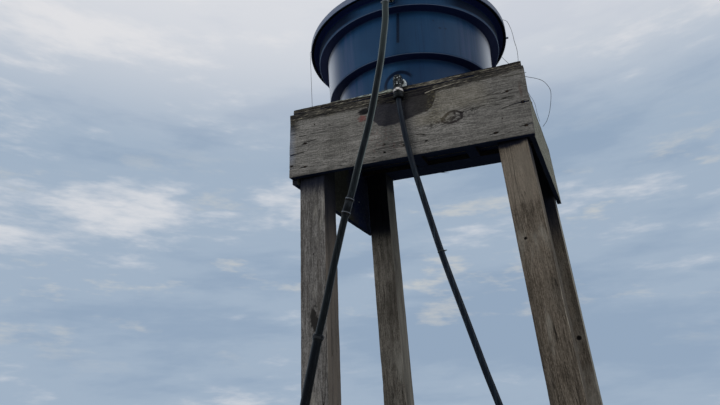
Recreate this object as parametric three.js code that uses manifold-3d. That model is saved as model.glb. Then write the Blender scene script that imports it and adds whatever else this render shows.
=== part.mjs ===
// A water tower: a blue plastic tank with its lid on a rough timber stand of four posts,
// with the inlet hose and the outlet hose down to the ground and the wire that ties the lid.
// Millimetres, +Z up, front towards -Y, origin on the floor below the middle of the object.

import * as THREE from "three";
import { mergeVertices } from "three/addons/utils/BufferGeometryUtils.js";
import Module from "manifold-3d";

const wasm = await Module();
wasm.setup();

const GAP = 0.3; // between pieces that meet on turned or round faces

// the box of planks: its front edge runs along X, its sides run back at a slant
const FRONT = -455.4; // outer face of the front plank
const BACK = 563.4;
const LEFT = -718;
const RIGHT = 534;
const SLANT = 0.1153; // shift in X for each millimetre back
const PLANK_LOW = 2720;
const PLANK_HIGH = 3099;
const LEFT_PLANK_DROP = 30; // its lower edge is this much below the others
const FRONT_PLANK_THICK = 30;
const LEFT_PLANK_THICK = 30;
const RIGHT_PLANK_THICK = 26;
const RIGHT_PLANK_INSET = 3;
const RIGHT_PLANK_LEAN = 16; // its upper edge leans in by this much

const BEARER_THICK = 34;
const BEARER_WIDE = 150;
const JOIST_WIDE = 70;
const JOIST_PLACES = [-170, 170]; // middles, from the middle of the box

const DECK_THICK = 30;
const DECK_TOP = PLANK_HIGH + DECK_THICK;
const BOARD_WIDTHS = [208, 196, 205, 199, 186];
const BOARD_ENDS = [[20, 6], [22, 22], [26, 20], [18, 26], [24, 23]]; // set back at left and right
const BOARD_GAP = 6.2;

// posts: middle at plank level, middle on the floor, width and depth of the section
const POSTS = {
  post_front_left: { high: [-598, -351], low: [-590, -337], size: [147, 128] },
  post_front_right: { high: [435, -347.6], low: [565, -347], size: [142, 139] },
  post_back_left: { high: [-474, 483], low: [-400, 491], size: [141, 138] },
  post_back_right: { high: [541, 483], low: [658, 481], size: [142, 138] },
};

// the tank
const TANK = [-127, 21];
const TANK_BASE = DECK_TOP;
const WALL = 6;
const BASE_RADIUS = 436;
const LOW_RADIUS = 440;
const LOW_LEDGE = 3314;
const MIDDLE_RADIUS = 496;
const HIGH_LEDGE = 3583;
const MIDDLE_TOP_RADIUS = 504;
const TOP_RADIUS = 558;
const FLANGE_RADIUS = 592;
const RIM = 3660; // lower edge of the lid's skirt
const TANK_SIDES = 72;

const LID_RADIUS = 610;
const LID_SKIRT = 40;
const LID_WALL = 6;
const CONE_FOOT = 24; // where the cone starts, above the skirt
const CAP_FOOT = 104;
const CAP_EDGE = 118;
const CAP_TOP = 128;
const CAP_RADIUS = 180;

// fittings: place round the tank as an X offset from its axis, height and radius of the seat
// inside: where the inner flange sits, face: the seat's flat, arm: where the elbow begins to bend
const OUTLET = {
  offset: 32, height: 3168, seat: 80, inside: 423.7, face: 430, arm: 488,
  tube: 17, flange: 24, nut: 36, nutSides: 24, nutThick: 16, elbow: 24, collar: 28, leg: 107, lean: 0, foot: 27,
};
const INLET = {
  offset: 45, height: 3630, seat: 32, inside: 550, face: 565, arm: 608,
  tube: 15, flange: 26, nut: 26, nutSides: 6, nutThick: 14, elbow: 17, collar: 23, leg: 26, lean: 0.21, foot: 0,
};
const FLANGE_THICK = 6;
const THREAD_SHOWN = 8;
const COLLAR_THICK = 12;
const FOOT_LONG = 26; // the thick end of the outlet elbow's leg
const BEND = 28; // radius of the elbows' bend

// hose routes, from the elbows' legs to the couplings on the ground
const INLET_ROUTE = [
  [-100, -613, 3455],
  [-116, -610, 3349],
  [-139, -606, 3214],
  [-166, -601, 3096],
  [-191, -597, 2990],
  [-221, -593, 2874],
  [-255, -589, 2763],
  [-286, -586, 2665],
  [-320, -583, 2551],
  [-362, -581, 2423],
  [-409, -579, 2255],
  [-441, -579, 2130],
  [-474, -579, 1993],
  [-509, -579, 1865],
  [-539, -579, 1741],
  [-574, -579, 1588],
  [-630, -579, 1290],
  [-676, -579, 960],
  [-706, -579, 610],
  [-719, -579, 300],
  [-720, -579, 160],
];
const OUTLET_ROUTE = [
  [-83.5, -497, 2955],
  [-75, -499, 2880],
  [-60, -499, 2760],
  [-41, -499, 2647],
  [-13, -499, 2511],
  [21, -499, 2350],
  [51.5, -499, 2212],
  [82.5, -499, 2085],
  [115.5, -499, 1960],
  [156, -499, 1804],
  [190.5, -499, 1672],
  [224.5, -499, 1552],
  [300, -499, 1270],
  [375, -499, 960],
  [438, -499, 620],
  [475, -499, 310],
  [480, -499, 160],
];
const COUPLING_LOW = 8;
const COUPLING_HIGH = 80;

// the wire over the lid: foot on the deck, where it meets the skirt, and the way down
const WIRE_FOOT = [-587, -445, DECK_TOP + 1.2];
const WIRE_TURN_LEFT = 200.9; // degrees round the tank
const WIRE_TURN_RIGHT = -7.3;
const WIRE_RIGHT = [
  [498, -109, 3641],
  [510, -179, 3540],
  [515, -249, 3440],
  [516, -319, 3344],
  [520, -384, 3243],
  [516, -441, DECK_TOP + 12],
  [514, -445, DECK_TOP + 1.5],
];
const WIRE_TAIL = [
  [535.6, -453, 3033],
  [553, -434, 3036],
  [578, -394, 3050],
  [614, -319, 3075],
  [639, -239, 3095],
  [657, -159, 3103],
  [658, -69, 3103],
  [644, 41, 3082],
  [624, 111, 3066],
  [602, 151, 3058],
];

const INLET_HOSE = 34;
const LOWER_HOSE = 42; // the wider hose round the inlet hose's lower half
const OUTLET_HOSE = 29;
const WIRE = 2.4;

const group = new THREE.Group();
group.name = "water_tower";

function add(name, geometry, colour, roughness, metalness = 0) {
  const material = new THREE.MeshStandardMaterial({ color: colour, roughness, metalness });
  material.name = name;
  const mesh = new THREE.Mesh(geometry, material);
  mesh.name = name;
  group.add(mesh);
}

function toManifold(geometry) {
  const plain = geometry.clone();
  plain.deleteAttribute("normal");
  plain.deleteAttribute("uv");
  const merged = mergeVertices(plain, 1e-4);
  return new wasm.Manifold(new wasm.Mesh({
    numProp: 3,
    vertProperties: new Float32Array(merged.attributes.position.array),
    triVerts: new Uint32Array(merged.index.array),
  }));
}

function toGeometry(manifold) {
  const mesh = manifold.getMesh();
  const geometry = new THREE.BufferGeometry();
  geometry.setAttribute("position", new THREE.BufferAttribute(new Float32Array(mesh.vertProperties), 3));
  geometry.setIndex(new THREE.BufferAttribute(new Uint32Array(mesh.triVerts), 1));
  geometry.computeVertexNormals();
  return geometry;
}

// a solid between two outlines of four corners, each counter-clockwise from above
function block(low, high) {
  const corners = [...low, ...high];
  const sides = [];
  for (let i = 0; i < 4; i += 1) {
    const j = (i + 1) % 4;
    sides.push(i, j, j + 4, i, j + 4, i + 4);
  }
  const geometry = new THREE.BufferGeometry();
  geometry.setAttribute("position", new THREE.Float32BufferAttribute(corners.flat(), 3));
  geometry.setIndex([0, 2, 1, 0, 3, 2, 4, 5, 6, 4, 6, 7, ...sides]);
  geometry.computeVertexNormals();
  return geometry;
}

// a board seen from above: x range at the front of the box, y range, z range, sides on the slant
function board(x0, x1, y0, y1, z0, z1, lean = 0) {
  const shift = (y) => SLANT * (y - FRONT);
  const outline = [[x0, y0], [x1, y0], [x1, y1], [x0, y1]].map(([x, y]) => [x + shift(y), y]);
  return block(outline.map(([x, y]) => [x, y, z0]), outline.map(([x, y]) => [x - lean, y, z1]));
}

// a board of the deck: its ends are cut square
function deckBoard(x0, x1, y0, y1) {
  const shift = SLANT * (y0 - FRONT);
  const outline = [[x0, y0], [x1, y0], [x1, y1], [x0, y1]].map(([x, y]) => [x + shift, y]);
  return block(outline.map(([x, y]) => [x, y, PLANK_HIGH]), outline.map(([x, y]) => [x, y, DECK_TOP]));
}

function post({ high, low, size }, top) {
  const turn = -Math.atan(SLANT);
  const grow = (top - PLANK_LOW) / PLANK_LOW;
  const end = [high[0] + (high[0] - low[0]) * grow, high[1] + (high[1] - low[1]) * grow];
  const outline = (middle, z) => [[-1, -1], [1, -1], [1, 1], [-1, 1]].map(([sx, sy]) => {
    const x = sx * size[0] / 2;
    const y = sy * size[1] / 2;
    return [
      middle[0] + x * Math.cos(turn) - y * Math.sin(turn),
      middle[1] + x * Math.sin(turn) + y * Math.cos(turn),
      z,
    ];
  });
  return block(outline(low, 0), outline(end, top));
}

// a turned shape: profile points are [radius, height], standing at a place
function turned(profile, sides, place = [0, 0, 0]) {
  const points = profile.map(([r, z]) => new THREE.Vector2(r, z));
  const geometry = new THREE.LatheGeometry(points, sides);
  geometry.rotateX(Math.PI / 2);
  geometry.translate(...place);
  return geometry;
}

// a turned shape laid along a direction from a place
function turnedAlong(profile, sides, place, direction) {
  const geometry = turned(profile, sides);
  const turn = new THREE.Quaternion().setFromUnitVectors(
    new THREE.Vector3(0, 0, 1), new THREE.Vector3(...direction).normalize());
  geometry.applyQuaternion(turn);
  geometry.translate(...place);
  return geometry;
}

function roundSection(radius, sides) {
  const shape = new THREE.Shape();
  for (let i = 0; i < sides; i += 1) {
    const a = (i / sides) * Math.PI * 2;
    if (i === 0) shape.moveTo(radius * Math.cos(a), radius * Math.sin(a));
    else shape.lineTo(radius * Math.cos(a), radius * Math.sin(a));
  }
  shape.closePath();
  return shape;
}

function tube(points, diameter, sides, steps) {
  const path = new THREE.CatmullRomCurve3(points.map((p) => new THREE.Vector3(...p)), false, "centripetal");
  return new THREE.ExtrudeGeometry(roundSection(diameter / 2, sides), { steps, extrudePath: path });
}

// posts
const POST_TOP = PLANK_HIGH - BEARER_THICK;
for (const [name, measures] of Object.entries(POSTS)) {
  add(name, post(measures, POST_TOP), 0x5f5850, 0.9);
}

// planks round the top
const INNER_FRONT = FRONT + FRONT_PLANK_THICK;
add("front_plank", board(LEFT, RIGHT, FRONT, INNER_FRONT, PLANK_LOW, PLANK_HIGH), 0x5d584f, 0.9);
add("left_plank", board(LEFT, LEFT + LEFT_PLANK_THICK, INNER_FRONT, BACK,
  PLANK_LOW - LEFT_PLANK_DROP, PLANK_HIGH), 0x57524a, 0.9);
const RIGHT_OUTER = RIGHT - RIGHT_PLANK_INSET;
add("right_plank", board(RIGHT_OUTER - RIGHT_PLANK_THICK, RIGHT_OUTER, INNER_FRONT, BACK,
  PLANK_LOW, PLANK_HIGH, RIGHT_PLANK_LEAN), 0x5b554c, 0.9);

// bearers on the posts and joists between them
const BEARER_LEFT = LEFT + LEFT_PLANK_THICK + GAP;
const BEARER_RIGHT = RIGHT_OUTER - RIGHT_PLANK_THICK - RIGHT_PLANK_LEAN - GAP;
const FRONT_BEARER_BACK = INNER_FRONT + BEARER_WIDE;
const BACK_BEARER_FRONT = BACK - BEARER_WIDE;
add("front_bearer", board(BEARER_LEFT, BEARER_RIGHT, INNER_FRONT, FRONT_BEARER_BACK,
  POST_TOP, PLANK_HIGH), 0x4f4a42, 0.9);
add("back_bearer", board(BEARER_LEFT, BEARER_RIGHT, BACK_BEARER_FRONT, BACK,
  POST_TOP, PLANK_HIGH), 0x4f4a42, 0.9);
const BOX_MIDDLE = (LEFT + RIGHT) / 2;
["joist_left", "joist_right"].forEach((name, i) => {
  const middle = BOX_MIDDLE + JOIST_PLACES[i];
  add(name, board(middle - JOIST_WIDE / 2, middle + JOIST_WIDE / 2,
    FRONT_BEARER_BACK, BACK_BEARER_FRONT, POST_TOP, PLANK_HIGH), 0x4f4a42, 0.9);
});

// deck boards, from the front to the back
let edge = FRONT;
BOARD_WIDTHS.forEach((wide, i) => {
  const [left, right] = BOARD_ENDS[i];
  add(`deck_board_${i + 1}`, deckBoard(LEFT + left, RIGHT - right, edge, edge + wide), 0x4a463d, 0.9);
  edge += wide + BOARD_GAP;
});

// tank body: the outlet's seat is sunk into the wall, the inlet's stands out of it
const tankOuter = [
  [0, TANK_BASE],
  [BASE_RADIUS - 14, TANK_BASE],
  [BASE_RADIUS - 4, TANK_BASE + 4],
  [BASE_RADIUS, TANK_BASE + 14],
  [LOW_RADIUS, LOW_LEDGE - 6],
  [LOW_RADIUS + 6, LOW_LEDGE],
  [MIDDLE_RADIUS - 10, LOW_LEDGE],
  [MIDDLE_RADIUS - 3, LOW_LEDGE + 3],
  [MIDDLE_RADIUS, LOW_LEDGE + 10],
  [MIDDLE_TOP_RADIUS, HIGH_LEDGE - 6],
  [MIDDLE_TOP_RADIUS + 6, HIGH_LEDGE],
  [TOP_RADIUS - 10, HIGH_LEDGE],
  [TOP_RADIUS - 3, HIGH_LEDGE + 3],
  [TOP_RADIUS, HIGH_LEDGE + 10],
  [TOP_RADIUS, RIM - 4],
  [FLANGE_RADIUS, RIM + 2],
  [FLANGE_RADIUS, RIM + 12],
  [0, RIM + 12],
];
const tankInner = [
  [0, TANK_BASE + WALL],
  [BASE_RADIUS - 18, TANK_BASE + WALL],
  [BASE_RADIUS - WALL, TANK_BASE + 18],
  [LOW_RADIUS - WALL, LOW_LEDGE],
  [LOW_RADIUS, LOW_LEDGE + WALL],
  [MIDDLE_RADIUS - 14, LOW_LEDGE + WALL],
  [MIDDLE_RADIUS - WALL, LOW_LEDGE + 14],
  [MIDDLE_TOP_RADIUS - WALL, HIGH_LEDGE],
  [MIDDLE_TOP_RADIUS, HIGH_LEDGE + WALL],
  [TOP_RADIUS - 14, HIGH_LEDGE + WALL],
  [TOP_RADIUS - WALL, HIGH_LEDGE + 14],
  [TOP_RADIUS - WALL, RIM + 30],
  [0, RIM + 30],
];

// the point on the tank's axis at a fitting's height, and the way it points
function fittingFrame({ offset, height, face }) {
  const across = -Math.sqrt(face * face - offset * offset);
  const way = [offset / face, across / face, 0];
  const at = (distance) => [TANK[0] + way[0] * distance, TANK[1] + way[1] * distance, height];
  return { way, at };
}

const outlet = fittingFrame(OUTLET);
const inlet = fittingFrame(INLET);
const PAD_DEPTH = 40;
const HOLE_CLEARANCE = 0.4;

function disc(frame, radius, from, depth) {
  const profile = [[0, 0], [radius, 0], [radius, depth - 3], [radius - 3, depth], [0, depth]];
  return toManifold(turnedAlong(profile, 40, frame.at(from), frame.way));
}

function hole(frame, { tube: radius, face }) {
  const wide = radius + HOLE_CLEARANCE;
  return toManifold(turnedAlong([[0, 0], [wide, 0], [wide, 120], [0, 120]], 24, frame.at(face - 80), frame.way));
}

const place = [TANK[0], TANK[1], 0];
const keep = toManifold(turned([[0, TANK_BASE], [800, TANK_BASE], [800, RIM], [0, RIM]], 24, place));
const pad = disc(inlet, INLET.seat, INLET.face - PAD_DEPTH, PAD_DEPTH).intersect(keep);
const recess = disc(outlet, OUTLET.seat, OUTLET.face, PAD_DEPTH);
const behind = disc(outlet, OUTLET.seat + WALL, OUTLET.face - WALL, PAD_DEPTH);
const inside = toManifold(turned(tankInner, TANK_SIDES, place)).subtract(behind);
const tankBody = toManifold(turned(tankOuter, TANK_SIDES, place))
  .subtract(recess)
  .add(pad)
  .subtract(inside)
  .subtract(hole(outlet, OUTLET))
  .subtract(hole(inlet, INLET));
add("tank_body", toGeometry(tankBody), 0x26395a, 0.45);

// lid: skirt, shoulder, shallow cone and flat cap
const LID_TOP = RIM + LID_SKIRT;
const lidOutside = [
  [LID_RADIUS, LID_TOP - 6],
  [LID_RADIUS - 3, LID_TOP],
  [LID_RADIUS - 12, LID_TOP + 6],
  [LID_RADIUS - 45, LID_TOP + 12],
  [LID_RADIUS - 60, LID_TOP + CONE_FOOT],
  [CAP_RADIUS, LID_TOP + CAP_FOOT],
  [CAP_RADIUS - 15, LID_TOP + CAP_EDGE],
  [60, LID_TOP + CAP_TOP - 2],
];
const lidProfile = [
  [LID_RADIUS, RIM],
  ...lidOutside,
  [0, LID_TOP + CAP_TOP],
  [0, LID_TOP + CAP_TOP - LID_WALL],
  [60, LID_TOP + CAP_TOP - 2 - LID_WALL],
  [CAP_RADIUS - 15 - LID_WALL, LID_TOP + CAP_EDGE - LID_WALL],
  [CAP_RADIUS - LID_WALL, LID_TOP + CAP_FOOT - LID_WALL],
  [LID_RADIUS - 62, LID_TOP + CONE_FOOT - LID_WALL],
  [LID_RADIUS - 49, LID_TOP + 12 - LID_WALL],
  [LID_RADIUS - 14, LID_TOP - 1],
  [LID_RADIUS - LID_WALL, LID_TOP - 8],
  [LID_RADIUS - LID_WALL, RIM],
  [LID_RADIUS, RIM],
];
add("tank_lid", turned(lidProfile, TANK_SIDES, place), 0x223350, 0.5);

// height of the lid's outside at a distance from its axis
function lidHeight(radius) {
  for (let i = 0; i < lidOutside.length - 1; i += 1) {
    const [r0, z0] = lidOutside[i];
    const [r1, z1] = lidOutside[i + 1];
    if (radius <= r0 && radius >= r1) {
      const t = r0 === r1 ? 0 : (r0 - radius) / (r0 - r1);
      return z0 + (z1 - z0) * t;
    }
  }
  return LID_TOP + CAP_TOP;
}

// a bulkhead fitting: flange inside, tube through the wall, nut outside
function bulkhead(name, frame, size, colour) {
  const back = size.inside - FLANGE_THICK;
  const long = size.face + size.nutThick + THREAD_SHOWN - back;
  const profile = [
    [0, 0], [size.flange, 0], [size.flange, FLANGE_THICK], [size.tube, FLANGE_THICK],
    [size.tube, long], [0, long],
  ];
  add(`${name}_flange`, turnedAlong(profile, 32, frame.at(back), frame.way), colour, 0.5);
  const ring = roundSection(size.nut, size.nutSides);
  ring.holes.push(new THREE.Path(roundSection(size.tube + GAP, 32).getPoints()));
  const nut = new THREE.ExtrudeGeometry(ring, { depth: size.nutThick, bevelEnabled: false });
  nut.applyQuaternion(new THREE.Quaternion().setFromUnitVectors(
    new THREE.Vector3(0, 0, 1), new THREE.Vector3(...frame.way)));
  nut.translate(...frame.at(size.face + GAP));
  add(`${name}_nut`, nut, colour, 0.5);
}

bulkhead("outlet", outlet, OUTLET, 0xb9bab2);
bulkhead("inlet", inlet, INLET, 0x2b2d30);

// an elbow: arm out of the fitting, bend and leg down; gives back the leg's end and its direction
function elbow(name, frame, size) {
  const way = new THREE.Vector3(...frame.way);
  const aside = new THREE.Vector3(-way.y, way.x, 0);
  const down = new THREE.Vector3(0, 0, -Math.cos(size.lean)).addScaledVector(aside, -Math.sin(size.lean));
  const start = size.face + size.nutThick + THREAD_SHOWN + GAP;
  const from = new THREE.Vector3(...frame.at(start));
  const turn = new THREE.Vector3(...frame.at(size.arm));
  const path = [from, from.clone().lerp(turn, 0.5)];
  for (let i = 0; i <= 6; i += 1) {
    const a = (i / 6) * Math.PI / 2;
    path.push(turn.clone().addScaledVector(way, BEND * Math.sin(a)).addScaledVector(down, BEND * (1 - Math.cos(a))));
  }
  const bendEnd = path[path.length - 1];
  path.push(bendEnd.clone().addScaledVector(down, size.leg / 2));
  const end = bendEnd.clone().addScaledVector(down, size.leg);
  path.push(end);
  let body = toManifold(tube(path.map((p) => p.toArray()), size.elbow * 2, 20, 30));
  const collarProfile = [[0, 0], [size.collar, 0], [size.collar, COLLAR_THICK], [0, COLLAR_THICK]];
  body = body.add(toManifold(turnedAlong(collarProfile, 6, from.toArray(), frame.way)));
  if (size.foot) {
    const footProfile = [[0, 0], [size.foot, 0], [size.foot, FOOT_LONG], [0, FOOT_LONG]];
    const up = down.clone().negate();
    body = body.add(toManifold(turnedAlong(footProfile, 20, end.toArray(), up.toArray())));
  }
  add(`${name}_elbow`, toGeometry(body), 0x1c2022, 0.5);
  return { end, down };
}

// the place some way down a hose, and the way of the straight step that it is on
function downHose({ curve, steps }, at) {
  const u = at / curve.getLength();
  const step = Math.floor(u * steps);
  const above = curve.getPointAt(step / steps);
  const below = curve.getPointAt((step + 1) / steps);
  const way = below.clone().sub(above).normalize();
  return { middle: above.clone().lerp(below, u * steps - step), way };
}

// a ring round a straight stretch, square to it
function ring(name, middle, way, wide, inner, outer, colour, metalness) {
  const place = middle.clone().addScaledVector(way, -wide / 2);
  const profile = [[inner, 0], [outer, 0], [outer, wide], [inner, wide], [inner, 0]];
  add(name, turnedAlong(profile, 28, place.toArray(), way.toArray()), colour, 0.45, metalness);
}

function band(name, made, at, wide, inner, outer, colour, metalness) {
  const { middle, way } = downHose(made, at);
  ring(name, middle, way, wide, inner, outer, colour, metalness);
}

function coupling(name, foot, hose) {
  const wide = hose / 2 + 8;
  const profile = [
    [0, COUPLING_LOW], [wide - 4, COUPLING_LOW], [wide - 4, 34], [wide, 34],
    [wide, 66], [wide - 4, COUPLING_HIGH], [0, COUPLING_HIGH],
  ];
  add(name, turned(profile, 24, [foot[0], foot[1], 0]), 0x1d2124, 0.55);
}

function hose(name, start, route, diameter, steps, endDiameter = diameter) {
  const first = start.end.clone().addScaledVector(start.down, GAP);
  const last = route[route.length - 1];
  const points = [
    first.toArray(),
    first.clone().addScaledVector(start.down, diameter).toArray(),
    ...route,
    [last[0], last[1], COUPLING_HIGH + GAP],
  ];
  add(name, tube(points, diameter, 10, steps), 0x1a2327, 0.4);
  coupling(name.replace("hose", "coupling"), last, endDiameter);
  const curve = new THREE.CatmullRomCurve3(points.map((p) => new THREE.Vector3(...p)), false, "centripetal");
  return { curve, steps, points };
}

const outletLeg = elbow("outlet", outlet, OUTLET);
hose("outlet_hose", outletLeg, OUTLET_ROUTE, OUTLET_HOSE, 28);
const inletCurve = hose("inlet_hose", elbow("inlet", inlet, INLET), INLET_ROUTE, INLET_HOSE, 36, LOWER_HOSE);

const STEEL = 0x9a9c9c;
const CLAMP_WIDE = 12;
const CLAMP_THICK = 1.6;
const HOSE_CLEAR = 0.5;
const SLEEVE_CLEAR = 1.3;
const SLEEVE_THICK = 1.8;
const SLEEVE_LONG = 92;
const SLEEVE_AT = 1159; // down the inlet hose
const LOW_CLAMP_AT = 1772;
const MOUTH_RADIUS = 23.5; // the lower hose's thick mouth, under the low clamp
const MOUTH_LONG = 26;
const LOWER_CLEAR = 0.6;
const LOWER_STEPS = 18;
const OUTLET_CLAMP_UP = 43; // above the end of the outlet elbow's leg
function clamp(name, curve, at, radius) {
  band(name, curve, at, CLAMP_WIDE, radius, radius + CLAMP_THICK, STEEL, 0.8);
}
const legSpot = outletLeg.end.clone().addScaledVector(outletLeg.down, -OUTLET_CLAMP_UP);
const legRadius = OUTLET.elbow + HOSE_CLEAR;
ring("outlet_clamp", legSpot, outletLeg.down, CLAMP_WIDE, legRadius, legRadius + CLAMP_THICK, STEEL, 0.8);
clamp("inlet_clamp", inletCurve, 20, INLET_HOSE / 2 + HOSE_CLEAR);
const sleeveInner = INLET_HOSE / 2 + SLEEVE_CLEAR;
const sleeveOuter = sleeveInner + SLEEVE_THICK;
band("inlet_sleeve", inletCurve, SLEEVE_AT, SLEEVE_LONG, sleeveInner, sleeveOuter, 0x15191b, 0);
const clampShift = SLEEVE_LONG / 2 - CLAMP_WIDE;
clamp("inlet_sleeve_clamp_upper", inletCurve, SLEEVE_AT - clampShift, sleeveOuter + HOSE_CLEAR);
clamp("inlet_sleeve_clamp_lower", inletCurve, SLEEVE_AT + clampShift, sleeveOuter + HOSE_CLEAR);

// from the low clamp down, the inlet hose runs in a wider hose
const mouth = downHose(inletCurve, LOW_CLAMP_AT);
const lowerStart = (LOW_CLAMP_AT - MOUTH_LONG / 4) / inletCurve.curve.getLength();
const lowerEnd = 1 - 0.5 / inletCurve.curve.getLength();
const lowerPoints = [];
for (let i = 0; i <= LOWER_STEPS; i += 1) {
  const u = THREE.MathUtils.lerp(lowerStart, lowerEnd, i / LOWER_STEPS);
  lowerPoints.push(inletCurve.curve.getPointAt(u).toArray());
}
const mouthProfile = [[0, 0], [MOUTH_RADIUS, 0], [MOUTH_RADIUS, MOUTH_LONG], [0, MOUTH_LONG]];
const mouthPlace = mouth.middle.clone().addScaledVector(mouth.way, -MOUTH_LONG / 2);
const mouthSolid = toManifold(turnedAlong(mouthProfile, 20, mouthPlace.toArray(), mouth.way.toArray()));
const hoseRoom = toManifold(tube(inletCurve.points, INLET_HOSE + 2 * LOWER_CLEAR, 10, inletCurve.steps));
const lowerSolid = toManifold(tube(lowerPoints, LOWER_HOSE, 14, LOWER_STEPS)).add(mouthSolid).subtract(hoseRoom);
add("inlet_lower_hose", toGeometry(lowerSolid), 0x171d20, 0.4);
clamp("inlet_low_clamp", inletCurve, LOW_CLAMP_AT, MOUTH_RADIUS + HOSE_CLEAR);

// the tie wire: up from the deck, over the lid and down to the deck's right corner
const WIRE_CLEAR = 1.2;
const rimPoint = (degrees, radius, z) => {
  const a = THREE.MathUtils.degToRad(degrees);
  return [TANK[0] + radius * Math.cos(a), TANK[1] + radius * Math.sin(a), z];
};
const SKIRT_CLEAR = LID_RADIUS + 5;
const leftRim = [rimPoint(WIRE_TURN_LEFT, SKIRT_CLEAR, RIM + 4), rimPoint(WIRE_TURN_LEFT, SKIRT_CLEAR, LID_TOP - 6)];
const rightRim = rimPoint(WIRE_TURN_RIGHT, SKIRT_CLEAR, LID_TOP - 4);
const crossing = [];
const CROSSING_STEPS = 30;
for (let i = 1; i < CROSSING_STEPS; i += 1) {
  const t = i / CROSSING_STEPS;
  const x = leftRim[1][0] + (rightRim[0] - leftRim[1][0]) * t;
  const y = leftRim[1][1] + (rightRim[1] - leftRim[1][1]) * t;
  const radius = Math.hypot(x - TANK[0], y - TANK[1]);
  const nearStep = radius > LID_RADIUS - 70 || radius < 200;
  const lift = nearStep ? 5 : 1;
  crossing.push([x, y, lidHeight(Math.min(radius, LID_RADIUS - 4)) + WIRE / 2 + WIRE_CLEAR + lift]);
}
add("lid_wire", tube([WIRE_FOOT, ...leftRim, ...crossing, rightRim, ...WIRE_RIGHT], WIRE, 6, 220), 0x6b6660, 0.6, 0.6);
add("wire_tail", tube(WIRE_TAIL, WIRE, 8, 16), 0x6b6660, 0.6, 0.6);

export default group;
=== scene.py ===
import math
import random

import bmesh
import bpy
from mathutils import Matrix, Vector, noise


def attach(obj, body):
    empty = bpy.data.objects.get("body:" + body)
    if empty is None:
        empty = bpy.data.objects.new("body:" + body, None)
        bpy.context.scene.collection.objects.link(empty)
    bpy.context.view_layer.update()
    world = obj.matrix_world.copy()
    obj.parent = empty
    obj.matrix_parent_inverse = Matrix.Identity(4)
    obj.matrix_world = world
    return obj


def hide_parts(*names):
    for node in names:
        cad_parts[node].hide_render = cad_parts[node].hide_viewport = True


# A farm water tower: a blue stepped tank with its lid on a rough timber stand, two hoses
# and the wire that ties the lid. Metres, +Z up, the front plank faces -Y.

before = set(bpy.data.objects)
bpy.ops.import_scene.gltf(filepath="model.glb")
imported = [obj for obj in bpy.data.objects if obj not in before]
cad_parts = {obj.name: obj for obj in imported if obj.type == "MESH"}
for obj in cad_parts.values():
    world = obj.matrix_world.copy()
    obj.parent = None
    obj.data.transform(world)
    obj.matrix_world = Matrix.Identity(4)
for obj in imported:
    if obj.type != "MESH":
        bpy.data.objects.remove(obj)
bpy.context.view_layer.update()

# ---------------------------------------------------------------- measures
FRONT = -0.4554
PLANK_REAR = -0.4254  # the front plank's rear face
LEFT, RIGHT = -0.718, 0.534
SLANT = 0.1153  # shift in X for each metre back
PLANK_LOW, PLANK_HIGH, PLANK_WIDE = 2.720, 3.099, 0.379
POST_TOP, DECK_TOP = 3.065, 3.129
TANK_X, TANK_Y = -0.127, 0.021
LOW_LEDGE, HIGH_LEDGE, RIM = 3.314, 3.583, 3.660
LID_TOP = 3.700
GROOVE_HIGH, GROOVE_TILT, GROOVE_TURN = 3.4845, 0.065, 0.1176
ASIDE_X, ASIDE_Y = 0.98, 0.197  # the picture's right, seen from above
BEND = 0.028
GAP = 0.0003  # between pieces that touch
OUTLET_HOSE, INLET_HOSE, LOWER_HOSE = 0.029, 0.034, 0.042
WIRE, THIN_WIRE = 0.0024, 0.0018
# a fitting's height, its place aside of the tank's middle, its wall's distance from the axis, its arm and leg
OUT_HIGH, OUT_ASIDE, OUT_FACE, OUT_ARM, OUT_LEG = 3.168, 0.032, 0.430, 0.488, 0.107
IN_HIGH, IN_ASIDE, IN_FACE, IN_ARM, IN_LEG = 3.630, 0.045, 0.565, 0.608, 0.026
IN_LEAN = 0.21
# a fitting's tube and the thickness of its nut, and how far from the tank's axis its flange and elbow start
OUT_TUBE, OUT_NUT, OUT_FLANGE_AT, OUT_ELBOW_AT = 0.017, 0.016, 0.4177, 0.4543
IN_TUBE, IN_NUT, IN_FLANGE_AT, IN_ELBOW_AT = 0.015, 0.014, 0.544, 0.5873
# the nail holes in the front plank, their places and sizes: the first seven still have their heads
HEADS_LEFT = 7
FRONT_HOLES = (((-0.626, 2.905), 0.0058), ((-0.704, 2.786), 0.0046), ((-0.626, 2.768), 0.0054),
               ((0.505, 2.897), 0.0062), ((0.503, 2.769), 0.0055), ((0.361, 2.7585), 0.0060),
               ((0.441, 2.971), 0.0046), ((0.026, 2.7855), 0.0044), ((-0.190, 2.765), 0.0040))


def seat_frame(offset, height, face):
    """A fitting's way out of the tank, and the point at a distance from the tank's axis."""
    across = -math.sqrt(face * face - offset * offset)
    way = Vector((offset / face, across / face, 0))
    return way, lambda distance: Vector((TANK_X, TANK_Y, height)) + way * distance


OUT_WAY, out_at = seat_frame(OUT_ASIDE, OUT_HIGH, OUT_FACE)
IN_WAY, in_at = seat_frame(IN_ASIDE, IN_HIGH, IN_FACE)


def elbow_end(way, at, arm, leg, lean):
    """Where an elbow's leg ends, and the way it points."""
    aside = Vector((-way.y, way.x, 0))
    down = Vector((0, 0, -math.cos(lean))) - aside * math.sin(lean)
    return at(arm) + way * BEND + down * (BEND + leg), down


def linked(name, data):
    """A new object in the scene."""
    made = bpy.data.objects.new(name, data)
    bpy.context.collection.objects.link(made)
    return made


def aimed(place, way, axis="Z"):
    """The matrix that puts the origin at a place and an axis along a way."""
    return Matrix.Translation(place) @ way.to_track_quat(axis, "Y").to_matrix().to_4x4()


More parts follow.
